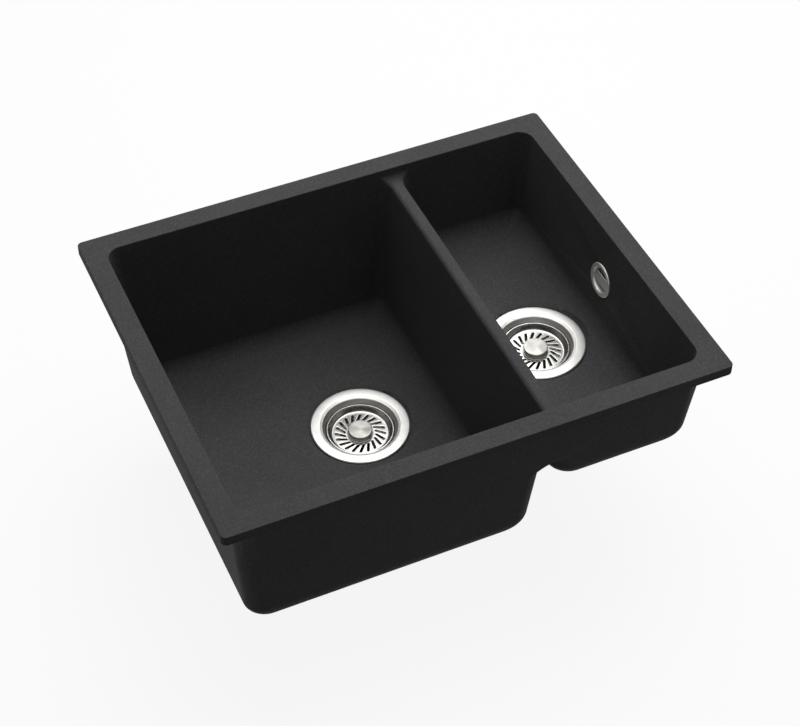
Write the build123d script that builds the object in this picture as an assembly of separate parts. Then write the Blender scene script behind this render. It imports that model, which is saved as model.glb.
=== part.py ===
from build123d import *
import math
import os

# One-and-a-half bowl sink for mounting under a worktop, with its two basket wastes
# and its overflow. Millimetres. The origin is the centre of the rim's top plane:
# +X runs to the small bowl, +Y to the back and +Z up.

# ---- Rim and opening ---------------------------------------------------------------
RIM_WIDTH = 560.0
RIM_DEPTH = 450.0
RIM_THICKNESS = 12.0
RIM_CORNER_RADIUS = 6.0
RIM_EDGE_RADIUS = 0.8
RIM_LAND = 24.0  # flat width between the rim's outer edge and the opening
OPENING_CORNER_RADIUS = 17.0
OPENING_EDGE_RADIUS = 1.0

# ---- Bowls: every wall leans by the draft, so they narrow towards the floor ----------
DRAFT = 4.86
WALL = 8.5
OUTER_CORNER_RADIUS = 19.5
OUTER_CORNER_SWELL = 8.0  # added to the outer corners as they run into the floor
INNER_CORNER_LEAST = 8.0
GROOVE_ROOF = 86.0  # underside of the solid part between the two bowls
GROOVE_RADIUS = 16.0  # hollow curve from that underside down the main bowl's wall
GROOVE_STEPS = 6
BOSS_RADIUS = 60.0
BOSS_DROP = 9.7  # drain boss below the lowest point of the floor inside
BOSS_ROOT = 12.0  # how far the boss reaches up into the floor
CAVITY_START = 6.0  # below the rim, where each bowl's own hollow starts inside the shared opening

MAIN_DEPTH = 200.5
MAIN_FALL = 3.3
MAIN_OUTER_DEPTH = 209.5
MAIN_OUTER_FLOOR_RADIUS = 40.0
MAIN_DRAIN = (-32.3, 25.0)

HALF_DEPTH = 129.5
HALF_FALL = 2.3
HALF_OUTER_DEPTH = 136.5
HALF_OUTER_FLOOR_RADIUS = 34.0
HALF_DRAIN = (173.9, 0.0)

FLOOR_RADIUS = 25.0
DISH_RADIUS = 45.0

# ---- Divider -----------------------------------------------------------------------
DIVIDER_X = 87.0
DIVIDER_WIDTH = 15.0  # at its top
DIVIDER_DROP = 15.5  # top of the divider below the rim
DIVIDER_EDGE_RADIUS = 5.5
DIVIDER_CORNER_RADIUS = 12.5
DIVIDER_SADDLE_RADIUS = 9.0  # where its top runs up into the front and back walls

# ---- Wastes: heights are measured from the top of the flange, downwards ---------------
FLANGE_ABOVE_LIP = 0.8
FLANGE_RADIUS = 57.0
FLANGE_EDGE_DROP = 2.3
FLANGE_INNER_RADIUS = 43.2
FLANGE_FALL = 0.6  # fall of the flange from its edge to the cup's mouth
SHEET = 1.0
CUP_SEAT_RADIUS = 39.9  # where the cup's mouth narrows to the wall that the basket sits in
CUP_SEAT = 6.5
CUP_FOOT_RADIUS = 37.0
RECESS_RADIUS = 59.0
RECESS_FLOOR = 3.5
DRAIN_HOLE_RADIUS = 45.0
BOSS_FACE = 10.5
LOWER_GASKET_FACE = 14.5
LOWER_GASKET_INNER = 46.0
FOAM_INNER = 46.5
FOAM_OUTER = 55.8
FOAM_CHAMFER = 0.7
CUP_FLOOR = 34.0
CUP_OPENINGS = 5
CUP_OPENING_RADIUS = 19.0
CUP_OPENING_WIDTH = 10.0
CUP_OPENING_ARC = 28.0
SCREW_RADIUS = 2.95
SCREW_HEAD_RADIUS = 6.5
SCREW_HEAD_TOP = 30.0
SCREW_END = 57.0
SCREW_SLOT_WIDTH = 1.6
SCREW_SLOT_DEPTH = 1.2
SOCKET_RADIUS = 2.8
SOCKET_SPARE = 0.4  # depth left under the stem's tip
NUT_RADIUS = 5.5
NUT_TOP = 42.0
NUT_END = 54.0

BASKET_RIM_RADIUS = 38.6
BASKET_RIM_TOP = 7.2
BASKET_FLOOR = 14.2
BASKET_SHEET = 0.8
BASKET_BEAD = 0.9
BASKET_FOOT_RADIUS = 33.2
BASKET_BEND = 4.5
SLOT_COUNT = 20
SLOT_WIDTH = 2.8
SLOT_INNER = 16.8
SLOT_OUTER = 29.3
SLOT_SLANT = 25.0
KNOB_RADIUS = 13.8
KNOB_WAIST = 12.2
KNOB_CHAMFER = 0.8
KNOB_GRIP = 2.2  # depth of the button's upright side, and of its waist, below the top
KNOB_NECK = 3.4
KNOB_COLLAR = 15.0
KNOB_COLLAR_HEIGHT = 0.6
STEM_RADIUS = 3.5
STEM_TIP_RADIUS = 2.4
STEM_TIP_END = 33.0
SEAL_RADIUS = 27.0
SEAL_HOLE = 9.0
SEAL_TOP = 31.0
RETAINER_RADIUS = 20.0
RETAINER_TOP = 27.0
RETAINER_ROOF = 2.6  # height of the boss that grips the stem
RETAINER_CLEARANCE = 0.6

HOUSING_FLANGE_RADIUS = 54.0
HOUSING_FLANGE = 3.5
HOUSING_INNER_RADIUS = 42.0
HOUSING_WALL = 2.6
HOUSING_SHOULDER = 30.0
HOUSING_SHOULDER_STEP = 0.9  # keeps the cone's wall as thick as the rest
OUTLET_RADIUS = 23.9
OUTLET_BORE = 20.6
OUTLET_TOP = 56.0
OUTLET_SHOULDER = 25.6
THREAD_TOP = 60.5
OUTLET_END = 76.0
HUB_RADIUS = 7.0
HUB_TOP = 35.0
HUB_RIB = 2.6
HUB_RIB_TOP = 36.0
HUB_RIB_END = 52.0

# ---- Overflow ------------------------------------------------------------------------
OVERFLOW_DROP = 64.0
OVERFLOW_HOLE_RADIUS = 17.0
ROSETTE_RADIUS = 20.5
ROSETTE_BORE = 14.0
ROSETTE_BEVEL = 15.8
ROSETTE_COLLAR = 16.0
ROSETTE_THREAD = 4.5  # how far the collar reaches past the gasket
ROSETTE_PROUD = 1.2
BAR_TOP = 6.5
BAR_BOTTOM = -7.0
BAR_SHEET = 1.4
BAR_RECESS = 0.4
OVERFLOW_GASKET = 2.0
OVERFLOW_GASKET_RADIUS = 21.5
OVERFLOW_HOUSING_RADIUS = 22.0
OVERFLOW_HOUSING_DEPTH = 15.0
PLASTIC_WALL = 2.0
MOUTH_WALL = 2.4
NECK_X = 268.5
NECK_RADIUS = 9.0
SPIGOT_RADIUS = 6.7
SPIGOT_BORE = 5.2
SPIGOT_LENGTH = 16.0
HOSE_RADIUS = 9.0
HOSE_VALLEY = 7.6
HOSE_BORE = 6.75
HOSE_TOP = 88.0
HOSE_BEND = 36.5
HOSE_CUFF = 18.0
HOSE_RIBS = 24
INLET_DROP = 50.0  # below the small bowl's flange top
INLET_REACH = 38.5
CLAMP_WIDTH = 7.0
CLAMP_SHEET = 0.8
CLAMP_BLOCK = (3.6, 7.0, 8.5)
CLAMP_SCREW_RADIUS = 1.7
CLAMP_SCREW_LENGTH = 6.0

DRAFT_ANGLE = math.radians(DRAFT)
SLOPE = math.tan(DRAFT_ANGLE)
FLOOR_STEPS = 6
OVERLAP = 2.0  # how far joined shapes reach into each other
NEAR = 0.01  # two places closer than this are the same

SIDE_X = RIM_WIDTH / 2 - RIM_LAND
SIDE_Y = RIM_DEPTH / 2 - RIM_LAND
DIVIDER_HALF = DIVIDER_WIDTH / 2 - SLOPE * DIVIDER_DROP
MAIN_FLANGE = -MAIN_DEPTH - MAIN_FALL + FLANGE_ABOVE_LIP
HALF_FLANGE = -HALF_DEPTH - HALF_FALL + FLANGE_ABOVE_LIP


# ---- Helpers --------------------------------------------------------------------------
def rounded_loop(left, right, front, back, height, radii):
    """Level outline with four sides and four corner arcs.

    The radii run front left, front right, back right, back left.
    """
    corners = (
        (left + radii[0], front + radii[0], 180.0, radii[0]),
        (right - radii[1], front + radii[1], 270.0, radii[1]),
        (right - radii[2], back - radii[2], 0.0, radii[2]),
        (left + radii[3], back - radii[3], 90.0, radii[3]),
    )
    arcs = []
    for x, y, start, radius in corners:
        arcs.append([round_point((x, y), radius, start + turn, height) for turn in (0.0, 45.0, 90.0)])
    edges = []
    for number, arc in enumerate(arcs):
        edges.append(ThreePointArc(*arc))
        edges.append(Line(arc[2], arcs[(number + 1) % 4][0]))
    return Wire(edges)


def round_point(centre, radius, angle, height):
    """Point on a level circle, with its angle in degrees."""
    turn = math.radians(angle)
    return (centre[0] + radius * math.cos(turn), centre[1] + radius * math.sin(turn), height)


def eight_arc_loop(centre, radius, height, outline):
    """Level circle cut into eight arcs, each starting on the bearing of one edge of the outline."""
    angles = []
    for edge in outline.edges():
        start = edge.position_at(0)
        angle = math.degrees(math.atan2(start.Y - centre[1], start.X - centre[0]))
        while angles and angle < angles[-1]:
            angle += 360.0
        angles.append(angle)
    edges = []
    for number, angle in enumerate(angles):
        last = angles[number + 1] if number < 7 else angles[0] + 360.0
        points = [round_point(centre, radius, turn, height) for turn in (angle, (angle + last) / 2, last)]
        edges.append(ThreePointArc(*points))
    return Wire(edges)


def turned(*outline):
    """Solid of revolution about Z from (radius, height) points."""
    return revolve(make_face(Plane.XZ * Polyline(*outline, close=True)), Axis.Z)


def bent_sheet(points, bends, thickness):
    """Sheet turned about Z: (radius, height) points of its upper face, with a radius for each bend."""
    face = make_face(offset(FilletPolyline(*points, radius=bends), thickness, side=Side.LEFT))
    return revolve(Plane.XZ * face)


def ring(inner, outer, bottom, top):
    """Plain ring about Z."""
    return turned((inner, bottom), (outer, bottom), (outer, top), (inner, top))


def post(radius, bottom, top):
    """Upright cylinder about Z."""
    return turned((0, bottom), (radius, bottom), (radius, top), (0, top))


# ---- Sink body --------------------------------------------------------------------------
class Bowl:
    """One bowl: its cavity, and the shell grown by the wall's thickness round it."""

    def __init__(self, left, right, depth, fall, outer_depth, outer_floor_radius, drain, divider_on_right):
        self.left = left
        self.right = right
        self.depth = depth
        self.fall = fall
        self.outer_depth = outer_depth
        self.outer_floor_radius = outer_floor_radius
        self.drain = drain
        self.divider_on_right = divider_on_right

    def loop(self, drop, inset, grow, swell):
        """Outline at one level, drawn in by inset from where the walls meet the rim's top plane."""
        if grow:
            wall_corner = OUTER_CORNER_RADIUS + swell
            divider_corner = DIVIDER_CORNER_RADIUS + WALL + swell
        else:
            wall_corner = max(OPENING_CORNER_RADIUS - SLOPE * drop, INNER_CORNER_LEAST)
            divider_corner = DIVIDER_CORNER_RADIUS
        if self.divider_on_right:
            radii = (wall_corner, divider_corner, divider_corner, wall_corner)
        else:
            radii = (divider_corner, wall_corner, wall_corner, divider_corner)
        reach = SIDE_Y + grow - inset
        return rounded_loop(self.left - grow + inset, self.right + grow - inset, -reach, reach, -drop, radii)

    def walls(self, top, grow, depth, floor_radius):
        """Space inside the walls from one level down to the floor, with the rounded foot."""
        foot = depth - floor_radius
        centre_inset = SLOPE * foot + floor_radius / math.cos(DRAFT_ANGLE)
        start = foot + floor_radius * math.sin(DRAFT_ANGLE)
        upright = [self.loop(top, SLOPE * top, grow, 0), self.loop(start, SLOPE * start, grow, 0)]
        rounding = []
        for step in range(FLOOR_STEPS + 1):
            share = step / FLOOR_STEPS
            angle = DRAFT_ANGLE + (math.pi / 2 - DRAFT_ANGLE) * share
            inset = centre_inset - floor_radius * math.cos(angle)
            drop = foot + floor_radius * math.sin(angle)
            rounding.append(self.loop(drop, inset, grow, OUTER_CORNER_SWELL * share if grow else 0))
        return Solid.make_loft(upright, ruled=True) + Solid.make_loft(rounding), rounding[-1]

    def cavity(self, top):
        """Hollow of the bowl, with a floor that falls to the drain."""
        space, floor = self.walls(top, 0, self.depth, FLOOR_RADIUS)
        lowest = eight_arc_loop(self.drain, DISH_RADIUS, -self.depth - self.fall, floor)
        return space + Solid.make_loft([floor, lowest], ruled=True)

    def shell(self, top):
        """Outside of the bowl, with the boss that the waste is clamped to."""
        space, floor = self.walls(top, WALL, self.outer_depth, self.outer_floor_radius)
        face = -self.depth - self.fall - BOSS_DROP
        boss = turned((0, 0), (BOSS_RADIUS, 0), (BOSS_RADIUS + OVERLAP, BOSS_ROOT), (0, BOSS_ROOT))
        return space + Pos(*self.drain, face) * boss


MAIN_BOWL = Bowl(
    -SIDE_X, DIVIDER_X - DIVIDER_HALF, MAIN_DEPTH, MAIN_FALL, MAIN_OUTER_DEPTH,
    MAIN_OUTER_FLOOR_RADIUS, MAIN_DRAIN, True,
)
HALF_BOWL = Bowl(
    DIVIDER_X + DIVIDER_HALF, SIDE_X, HALF_DEPTH, HALF_FALL, HALF_OUTER_DEPTH,
    HALF_OUTER_FLOOR_RADIUS, HALF_DRAIN, False,
)


def opening_loop(drop):
    """Outline of the opening that both bowls share, at one level."""
    reach_x = SIDE_X - SLOPE * drop
    reach_y = SIDE_Y - SLOPE * drop
    radius = OPENING_CORNER_RADIUS - SLOPE * drop
    return rounded_loop(-reach_x, reach_x, -reach_y, reach_y, -drop, [radius] * 4)


def block_loop(drop):
    """Outline of the outside round both bowls, at one level."""
    reach_x = SIDE_X + WALL - SLOPE * drop
    reach_y = SIDE_Y + WALL - SLOPE * drop
    return rounded_loop(-reach_x, reach_x, -reach_y, reach_y, -drop, [OUTER_CORNER_RADIUS] * 4)


def bowl_space():
    """Everything that is hollow above the drain seats, with the divider left between the bowls."""
    opening = Solid.make_loft([opening_loop(0), opening_loop(DIVIDER_DROP)], ruled=True)
    opening = fillet(opening.edges().group_by(Axis.Z)[0], DIVIDER_SADDLE_RADIUS)
    space = opening + MAIN_BOWL.cavity(CAVITY_START) + HALF_BOWL.cavity(CAVITY_START)
    edges = []
    for edge in space.edges():
        centre = edge.center()
        level = abs(centre.Z + DIVIDER_DROP) < NEAR and abs(centre.Y) < NEAR
        if level and abs(centre.X - DIVIDER_X) < DIVIDER_WIDTH:
            edges.append(edge)
    return fillet(edges, DIVIDER_EDGE_RADIUS)


def groove_curve():
    """Material in the groove's upper corner, flaring from the main bowl's wall out to the groove's roof."""
    loops = []
    for step in range(GROOVE_STEPS + 1):
        angle = math.pi / 2 * step / GROOVE_STEPS
        flare = GROOVE_RADIUS * (1 - math.cos(angle))
        drop = GROOVE_ROOF + GROOVE_RADIUS * (1 - math.sin(angle))
        loops.append(MAIN_BOWL.loop(drop, SLOPE * drop, WALL + flare, flare))
    limits = [block_loop(GROOVE_ROOF - OVERLAP), block_loop(GROOVE_ROOF + GROOVE_RADIUS)]
    return Solid.make_loft(loops) & Solid.make_loft(limits, ruled=True)


def outside():
    """Rim plate and outer shells, joined into one block."""
    block = Solid.make_loft([block_loop(RIM_THICKNESS / 2), block_loop(GROOVE_ROOF)], ruled=True)
    block = block + MAIN_BOWL.shell(GROOVE_ROOF - 2 * OVERLAP) + HALF_BOWL.shell(GROOVE_ROOF - 2 * OVERLAP)
    block += groove_curve()
    plate = extrude(RectangleRounded(RIM_WIDTH, RIM_DEPTH, RIM_CORNER_RADIUS), -RIM_THICKNESS)
    levels = plate.edges().group_by(Axis.Z)
    return fillet(levels[0] + levels[-1], RIM_EDGE_RADIUS) + block


def sink_body():
    """Cast body: rim, both bowls, the divider, the drain seats and the overflow's hole."""
    body = outside() - bowl_space()
    edges = []
    for edge in body.edges().filter_by_position(Axis.Z, 0, 0):
        if abs(edge.center().X) < SIDE_X + 1 and abs(edge.center().Y) < SIDE_Y + 1:
            edges.append(edge)
    body = fillet(edges, OPENING_EDGE_RADIUS)
    for bowl in (MAIN_BOWL, HALF_BOWL):
        flange = -bowl.depth - bowl.fall + FLANGE_ABOVE_LIP
        seat = post(RECESS_RADIUS, -RECESS_FLOOR, 4 * RECESS_FLOOR)
        hole = post(DRAIN_HOLE_RADIUS, -BOSS_FACE - OVERLAP, 0)
        body -= Pos(*bowl.drain, flange) * (seat + hole)
    return body - OVERFLOW_PLACE.location * post(OVERFLOW_HOLE_RADIUS, -2 * WALL, WALL)


# ---- Wastes -------------------------------------------------------------------------------
def waste_cup():
    """Pressed cup with a turned-down flange and drain openings in its floor."""
    points = [
        (FLANGE_RADIUS, -FLANGE_EDGE_DROP),
        (FLANGE_RADIUS, 0),
        (FLANGE_INNER_RADIUS, -FLANGE_FALL),
        (CUP_SEAT_RADIUS, -CUP_SEAT),
        (CUP_FOOT_RADIUS, -CUP_FLOOR),
        (SCREW_RADIUS + 0.25, -CUP_FLOOR),
    ]
    cup = bent_sheet(points, [1.4, 1.2, 8.0, 4.5], SHEET)
    for number in range(CUP_OPENINGS):
        start = 90 + number * 360 / CUP_OPENINGS - CUP_OPENING_ARC / 2
        opening = SlotArc(CenterArc((0, 0), CUP_OPENING_RADIUS, start, CUP_OPENING_ARC), CUP_OPENING_WIDTH)
        cup -= Pos(0, 0, -CUP_FLOOR - OVERLAP) * extrude(opening, 2 * OVERLAP)
    return cup


def flange_gasket():
    """Foam ring under the flange, whose top follows the sheet."""
    return turned(
        (FOAM_INNER, -RECESS_FLOOR),
        (FOAM_OUTER, -RECESS_FLOOR),
        (FOAM_OUTER, -SHEET - FOAM_CHAMFER),
        (FOAM_OUTER - FOAM_CHAMFER, -SHEET - 0.1),
        (FOAM_INNER, -SHEET - FLANGE_FALL),
    )


def lower_gasket():
    """Rubber ring between the boss and the housing."""
    return ring(LOWER_GASKET_INNER, HOUSING_FLANGE_RADIUS, -LOWER_GASKET_FACE, -BOSS_FACE)


def housing_space():
    """Hollow of the waste housing, from its flange to the end of the outlet."""
    return turned(
        (0, -LOWER_GASKET_FACE + OVERLAP),
        (HOUSING_INNER_RADIUS, -LOWER_GASKET_FACE + OVERLAP),
        (HOUSING_INNER_RADIUS, -HOUSING_SHOULDER),
        (OUTLET_BORE, -OUTLET_TOP),
        (OUTLET_BORE, -OUTLET_END - OVERLAP),
        (0, -OUTLET_END - OVERLAP),
    )


def waste_housing(with_inlet):
    """Moulded housing: clamping flange, cone, threaded outlet and a ribbed hub for the screw."""
    outer = HOUSING_INNER_RADIUS + HOUSING_WALL
    housing = turned(
        (0, -LOWER_GASKET_FACE),
        (HOUSING_FLANGE_RADIUS, -LOWER_GASKET_FACE),
        (HOUSING_FLANGE_RADIUS, -LOWER_GASKET_FACE - HOUSING_FLANGE),
        (outer + OVERLAP, -LOWER_GASKET_FACE - HOUSING_FLANGE),
        (outer, -LOWER_GASKET_FACE - HOUSING_FLANGE - OVERLAP),
        (outer, -HOUSING_SHOULDER - HOUSING_SHOULDER_STEP),
        (OUTLET_SHOULDER, -OUTLET_TOP + OVERLAP),
        (OUTLET_SHOULDER, -THREAD_TOP),
        (OUTLET_RADIUS, -THREAD_TOP),
        (OUTLET_RADIUS, -OUTLET_END),
        (0, -OUTLET_END),
    )
    sideways = Plane(origin=(0, 0, -INLET_DROP), x_dir=(0, 1, 0), z_dir=(1, 0, 0)).location
    if with_inlet:
        housing += sideways * post(NECK_RADIUS + 0.5, OUTLET_BORE, INLET_REACH)
        housing += sideways * post(SPIGOT_RADIUS, OUTLET_BORE, INLET_REACH + SPIGOT_LENGTH)
    housing -= housing_space()
    if with_inlet:
        housing -= sideways * post(SPIGOT_BORE, OUTLET_BORE, INLET_REACH + SPIGOT_LENGTH + OVERLAP)
    lean = (HOUSING_INNER_RADIUS - OUTLET_BORE) / (OUTLET_TOP - HOUSING_SHOULDER)
    into_wall = HOUSING_INNER_RADIUS + HOUSING_WALL / 2
    web = turned(
        (0, -HUB_RIB_TOP),
        (into_wall - lean * (HUB_RIB_TOP - HOUSING_SHOULDER), -HUB_RIB_TOP),
        (into_wall - lean * (HUB_RIB_END - HOUSING_SHOULDER), -HUB_RIB_END),
        (0, -HUB_RIB_END),
    )
    for angle in (45, 135):
        housing += Rot(0, 0, angle) * Box(4 * OUTLET_BORE, HUB_RIB, 2 * OUTLET_END) & web
    housing += post(HUB_RADIUS, -OUTLET_TOP, -HUB_TOP)
    housing -= post(SCREW_RADIUS + 0.15, -OUTLET_END, -HUB_TOP + OVERLAP)
    return housing - post(NUT_RADIUS, -NUT_END, -NUT_TOP)


def clamp_screw():
    """Long screw whose hollow head takes the tip of the strainer's stem."""
    screw = post(SCREW_RADIUS, -SCREW_END, -CUP_FLOOR) + post(SCREW_HEAD_RADIUS, -CUP_FLOOR, -SCREW_HEAD_TOP)
    screw -= post(SOCKET_RADIUS, -STEM_TIP_END - SOCKET_SPARE, -SCREW_HEAD_TOP)
    slot = Box(4 * SCREW_HEAD_RADIUS, SCREW_SLOT_WIDTH, 2 * SCREW_SLOT_DEPTH)
    return screw - Pos(0, 0, -SCREW_HEAD_TOP) * slot


def insert_nut():
    """Brass nut moulded into the hub."""
    return ring(SCREW_RADIUS + 0.05, NUT_RADIUS, -NUT_END, -NUT_TOP)


def strainer_basket():
    """Shallow dish with a beaded rim and a ring of slanted slots."""
    bead_radius = BASKET_RIM_RADIUS - BASKET_BEAD
    bead_height = -BASKET_RIM_TOP - BASKET_BEAD
    points = [
        (bead_radius - 0.1, bead_height + 0.1),
        (BASKET_FOOT_RADIUS, -BASKET_FLOOR),
        (STEM_RADIUS + 0.1, -BASKET_FLOOR),
    ]
    basket = bent_sheet(points, [BASKET_BEND], BASKET_SHEET)
    basket += revolve(Plane.XZ * Pos(bead_radius, bead_height) * Circle(BASKET_BEAD), Axis.Z)
    middle = (SLOT_INNER + SLOT_OUTER) / 2
    length = (SLOT_OUTER - SLOT_INNER - SLOT_WIDTH) / math.cos(math.radians(SLOT_SLANT))
    slot = extrude(SlotCenterToCenter(length, SLOT_WIDTH), 2 * OVERLAP)
    for number in range(SLOT_COUNT):
        turn = number * 360 / SLOT_COUNT
        place = Rot(0, 0, turn) * Pos(middle, 0, -BASKET_FLOOR - OVERLAP) * Rot(0, 0, -SLOT_SLANT)
        basket -= place * slot
    return basket


def strainer_knob():
    """Flat-topped button with a waist to grip and a collar that sits on the basket."""
    return turned(
        (0, -BASKET_RIM_TOP),
        (KNOB_RADIUS - KNOB_CHAMFER, -BASKET_RIM_TOP),
        (KNOB_RADIUS, -BASKET_RIM_TOP - KNOB_CHAMFER),
        (KNOB_RADIUS, -BASKET_RIM_TOP - KNOB_GRIP),
        (KNOB_WAIST, -BASKET_RIM_TOP - KNOB_NECK),
        (KNOB_WAIST, -BASKET_FLOOR + KNOB_COLLAR_HEIGHT),
        (KNOB_COLLAR, -BASKET_FLOOR + KNOB_COLLAR_HEIGHT),
        (KNOB_COLLAR, -BASKET_FLOOR),
        (0, -BASKET_FLOOR),
    )


def strainer_stem():
    """Pin from the knob down to the tip that snaps into the clamp screw."""
    return turned(
        (0, -BASKET_FLOOR),
        (STEM_RADIUS, -BASKET_FLOOR),
        (STEM_RADIUS, -RETAINER_TOP - RETAINER_ROOF),
        (STEM_TIP_RADIUS, -RETAINER_TOP - RETAINER_ROOF),
        (STEM_TIP_RADIUS, -STEM_TIP_END + 0.8),
        (STEM_TIP_RADIUS - 0.8, -STEM_TIP_END),
        (0, -STEM_TIP_END),
    )


def strainer_seal():
    """Rubber washer that closes the openings in the cup's floor."""
    return turned(
        (SEAL_HOLE, -CUP_FLOOR),
        (SEAL_RADIUS - 0.5, -CUP_FLOOR),
        (SEAL_RADIUS, -CUP_FLOOR + 0.5),
        (SEAL_RADIUS, -SEAL_TOP - 0.6),
        (SEAL_RADIUS - 0.6, -SEAL_TOP),
        (SEAL_HOLE, -SEAL_TOP),
    )


def seal_retainer():
    """Moulded clip that holds the washer on the stem and clears the screw's head."""
    inside = SCREW_HEAD_RADIUS + RETAINER_CLEARANCE
    ceiling = -RETAINER_TOP - RETAINER_ROOF
    return turned(
        (STEM_RADIUS, -RETAINER_TOP),
        (SEAL_HOLE, -RETAINER_TOP),
        (SEAL_HOLE, ceiling),
        (RETAINER_RADIUS, ceiling),
        (RETAINER_RADIUS, -SEAL_TOP),
        (SEAL_HOLE, -SEAL_TOP),
        (SEAL_HOLE, -CUP_FLOOR + 0.5),
        (inside, -CUP_FLOOR + 0.5),
        (inside, ceiling),
        (STEM_RADIUS, ceiling),
    )


def waste_parts(with_inlet):
    """Pieces of one waste, with the flange's top at height zero."""
    return {
        "waste_cup": waste_cup(),
        "flange_gasket": flange_gasket(),
        "lower_gasket": lower_gasket(),
        "waste_housing": waste_housing(with_inlet),
        "clamp_screw": clamp_screw(),
        "insert_nut": insert_nut(),
        "strainer_basket": strainer_basket(),
        "strainer_knob": strainer_knob(),
        "strainer_stem": strainer_stem(),
        "strainer_seal": strainer_seal(),
        "seal_retainer": seal_retainer(),
    }


# ---- Overflow --------------------------------------------------------------------------------
# Its plane lies on the small bowl's leaning wall: local Z points into the bowl, local Y up the wall.
OVERFLOW_PLACE = Plane(
    origin=(SIDE_X - SLOPE * OVERFLOW_DROP, 0, -OVERFLOW_DROP),
    x_dir=(0, -1, 0),
    z_dir=(-math.cos(DRAFT_ANGLE), 0, math.sin(DRAFT_ANGLE)),
)
WALL_BACK = -WALL * math.cos(DRAFT_ANGLE)
GASKET_BACK = WALL_BACK - OVERFLOW_GASKET
HOUSING_BACK = GASKET_BACK - OVERFLOW_HOUSING_DEPTH
COLLAR_END = GASKET_BACK - ROSETTE_THREAD


def overflow_rosette():
    """Bevelled ring with a level bar, and the collar that screws through the wall."""
    rosette = turned(
        (ROSETTE_BORE, -0.3),
        (ROSETTE_BEVEL, ROSETTE_PROUD),
        (ROSETTE_RADIUS - 0.9, ROSETTE_PROUD),
        (ROSETTE_RADIUS, ROSETTE_PROUD - 0.7),
        (ROSETTE_RADIUS, 0),
        (ROSETTE_COLLAR, 0),
        (ROSETTE_COLLAR, COLLAR_END),
        (ROSETTE_BORE, COLLAR_END),
    )
    bar = Box(4 * ROSETTE_BORE, BAR_TOP - BAR_BOTTOM, BAR_SHEET)
    bar = Pos(0, (BAR_TOP + BAR_BOTTOM) / 2, -BAR_RECESS - BAR_SHEET / 2) * bar
    rosette += bar & post(ROSETTE_BORE + 1, -WALL, WALL)
    return OVERFLOW_PLACE.location * rosette


def overflow_gasket():
    """Soft ring between the wall and the housing."""
    gasket = ring(OVERFLOW_HOLE_RADIUS + 0.3, OVERFLOW_GASKET_RADIUS, GASKET_BACK, WALL_BACK)
    return OVERFLOW_PLACE.location * gasket


def overflow_housing():
    """Round box behind the wall, with a threaded mouth and a spigot that points down."""
    spigot_top = -HOSE_TOP + 4 * OVERLAP
    spigot_end = -HOSE_TOP - SPIGOT_LENGTH
    inner = OVERFLOW_HOUSING_RADIUS - PLASTIC_WALL
    mouth = ROSETTE_COLLAR + 0.1
    space = ring(0, inner, HOUSING_BACK + PLASTIC_WALL, GASKET_BACK - PLASTIC_WALL)
    housing = OVERFLOW_PLACE.location * post(OVERFLOW_HOUSING_RADIUS, HOUSING_BACK, GASKET_BACK)
    housing += Pos(NECK_X, 0, 0) * post(NECK_RADIUS, -HOSE_TOP, spigot_top)
    housing += Pos(NECK_X, 0, 0) * post(SPIGOT_RADIUS, spigot_end, -HOSE_TOP)
    housing -= OVERFLOW_PLACE.location * space
    housing += OVERFLOW_PLACE.location * ring(mouth, mouth + MOUTH_WALL, COLLAR_END, GASKET_BACK)
    housing -= OVERFLOW_PLACE.location * post(mouth, COLLAR_END, GASKET_BACK + OVERLAP)
    return housing - Pos(NECK_X, 0, 0) * post(SPIGOT_BORE, spigot_end - OVERLAP, spigot_top + OVERLAP)


INLET_X = HALF_DRAIN[0] + INLET_REACH
INLET_Z = HALF_FLANGE - INLET_DROP
BEND_CENTRE = (NECK_X - HOSE_BEND, INLET_Z + HOSE_BEND)
DOWN_LENGTH = -HOSE_TOP - BEND_CENTRE[1]
BEND_LENGTH = HOSE_BEND * math.pi / 2
HOSE_LENGTH = DOWN_LENGTH + BEND_LENGTH + BEND_CENTRE[0] - INLET_X


def hose_plane(along):
    """Plane square to the hose's middle line, at a length from its upper end."""
    if along <= DOWN_LENGTH:
        origin = (NECK_X, 0, -HOSE_TOP - along)
        heading = (0, 0, -1)
    elif along < DOWN_LENGTH + BEND_LENGTH:
        turn = (along - DOWN_LENGTH) / HOSE_BEND
        x = BEND_CENTRE[0] + HOSE_BEND * math.cos(turn)
        z = BEND_CENTRE[1] - HOSE_BEND * math.sin(turn)
        origin = (x, 0, z)
        heading = (-math.sin(turn), 0, -math.cos(turn))
    else:
        origin = (BEND_CENTRE[0] - (along - DOWN_LENGTH - BEND_LENGTH), 0, INLET_Z)
        heading = (-1, 0, 0)
    return Plane(origin=origin, x_dir=(0, 1, 0), z_dir=heading)


def hose_circle(along, radius):
    """Circle round the hose's middle line."""
    return Wire([hose_plane(along) * Edge.make_circle(radius)])


def overflow_hose():
    """Ribbed hose with plain cuffs: down from the overflow, then round under the small bowl."""
    pitch = (HOSE_LENGTH - 2 * HOSE_CUFF) / HOSE_RIBS
    circles = [hose_circle(0, HOSE_RADIUS), hose_circle(HOSE_CUFF, HOSE_RADIUS)]
    for rib in range(HOSE_RIBS):
        start = HOSE_CUFF + rib * pitch
        profile = ((0.1, HOSE_VALLEY), (0.4, HOSE_VALLEY), (0.5, HOSE_RADIUS), (0.9, HOSE_RADIUS))
        for share, radius in profile:
            circles.append(hose_circle(start + share * pitch, radius))
    circles.append(hose_circle(HOSE_LENGTH, HOSE_RADIUS))
    bore = []
    for step in range(2 * HOSE_RIBS + 1):
        bore.append(hose_circle(HOSE_LENGTH * step / (2 * HOSE_RIBS), HOSE_BORE))
    return Solid.make_loft(circles, ruled=True) - Solid.make_loft(bore, ruled=True)


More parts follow.
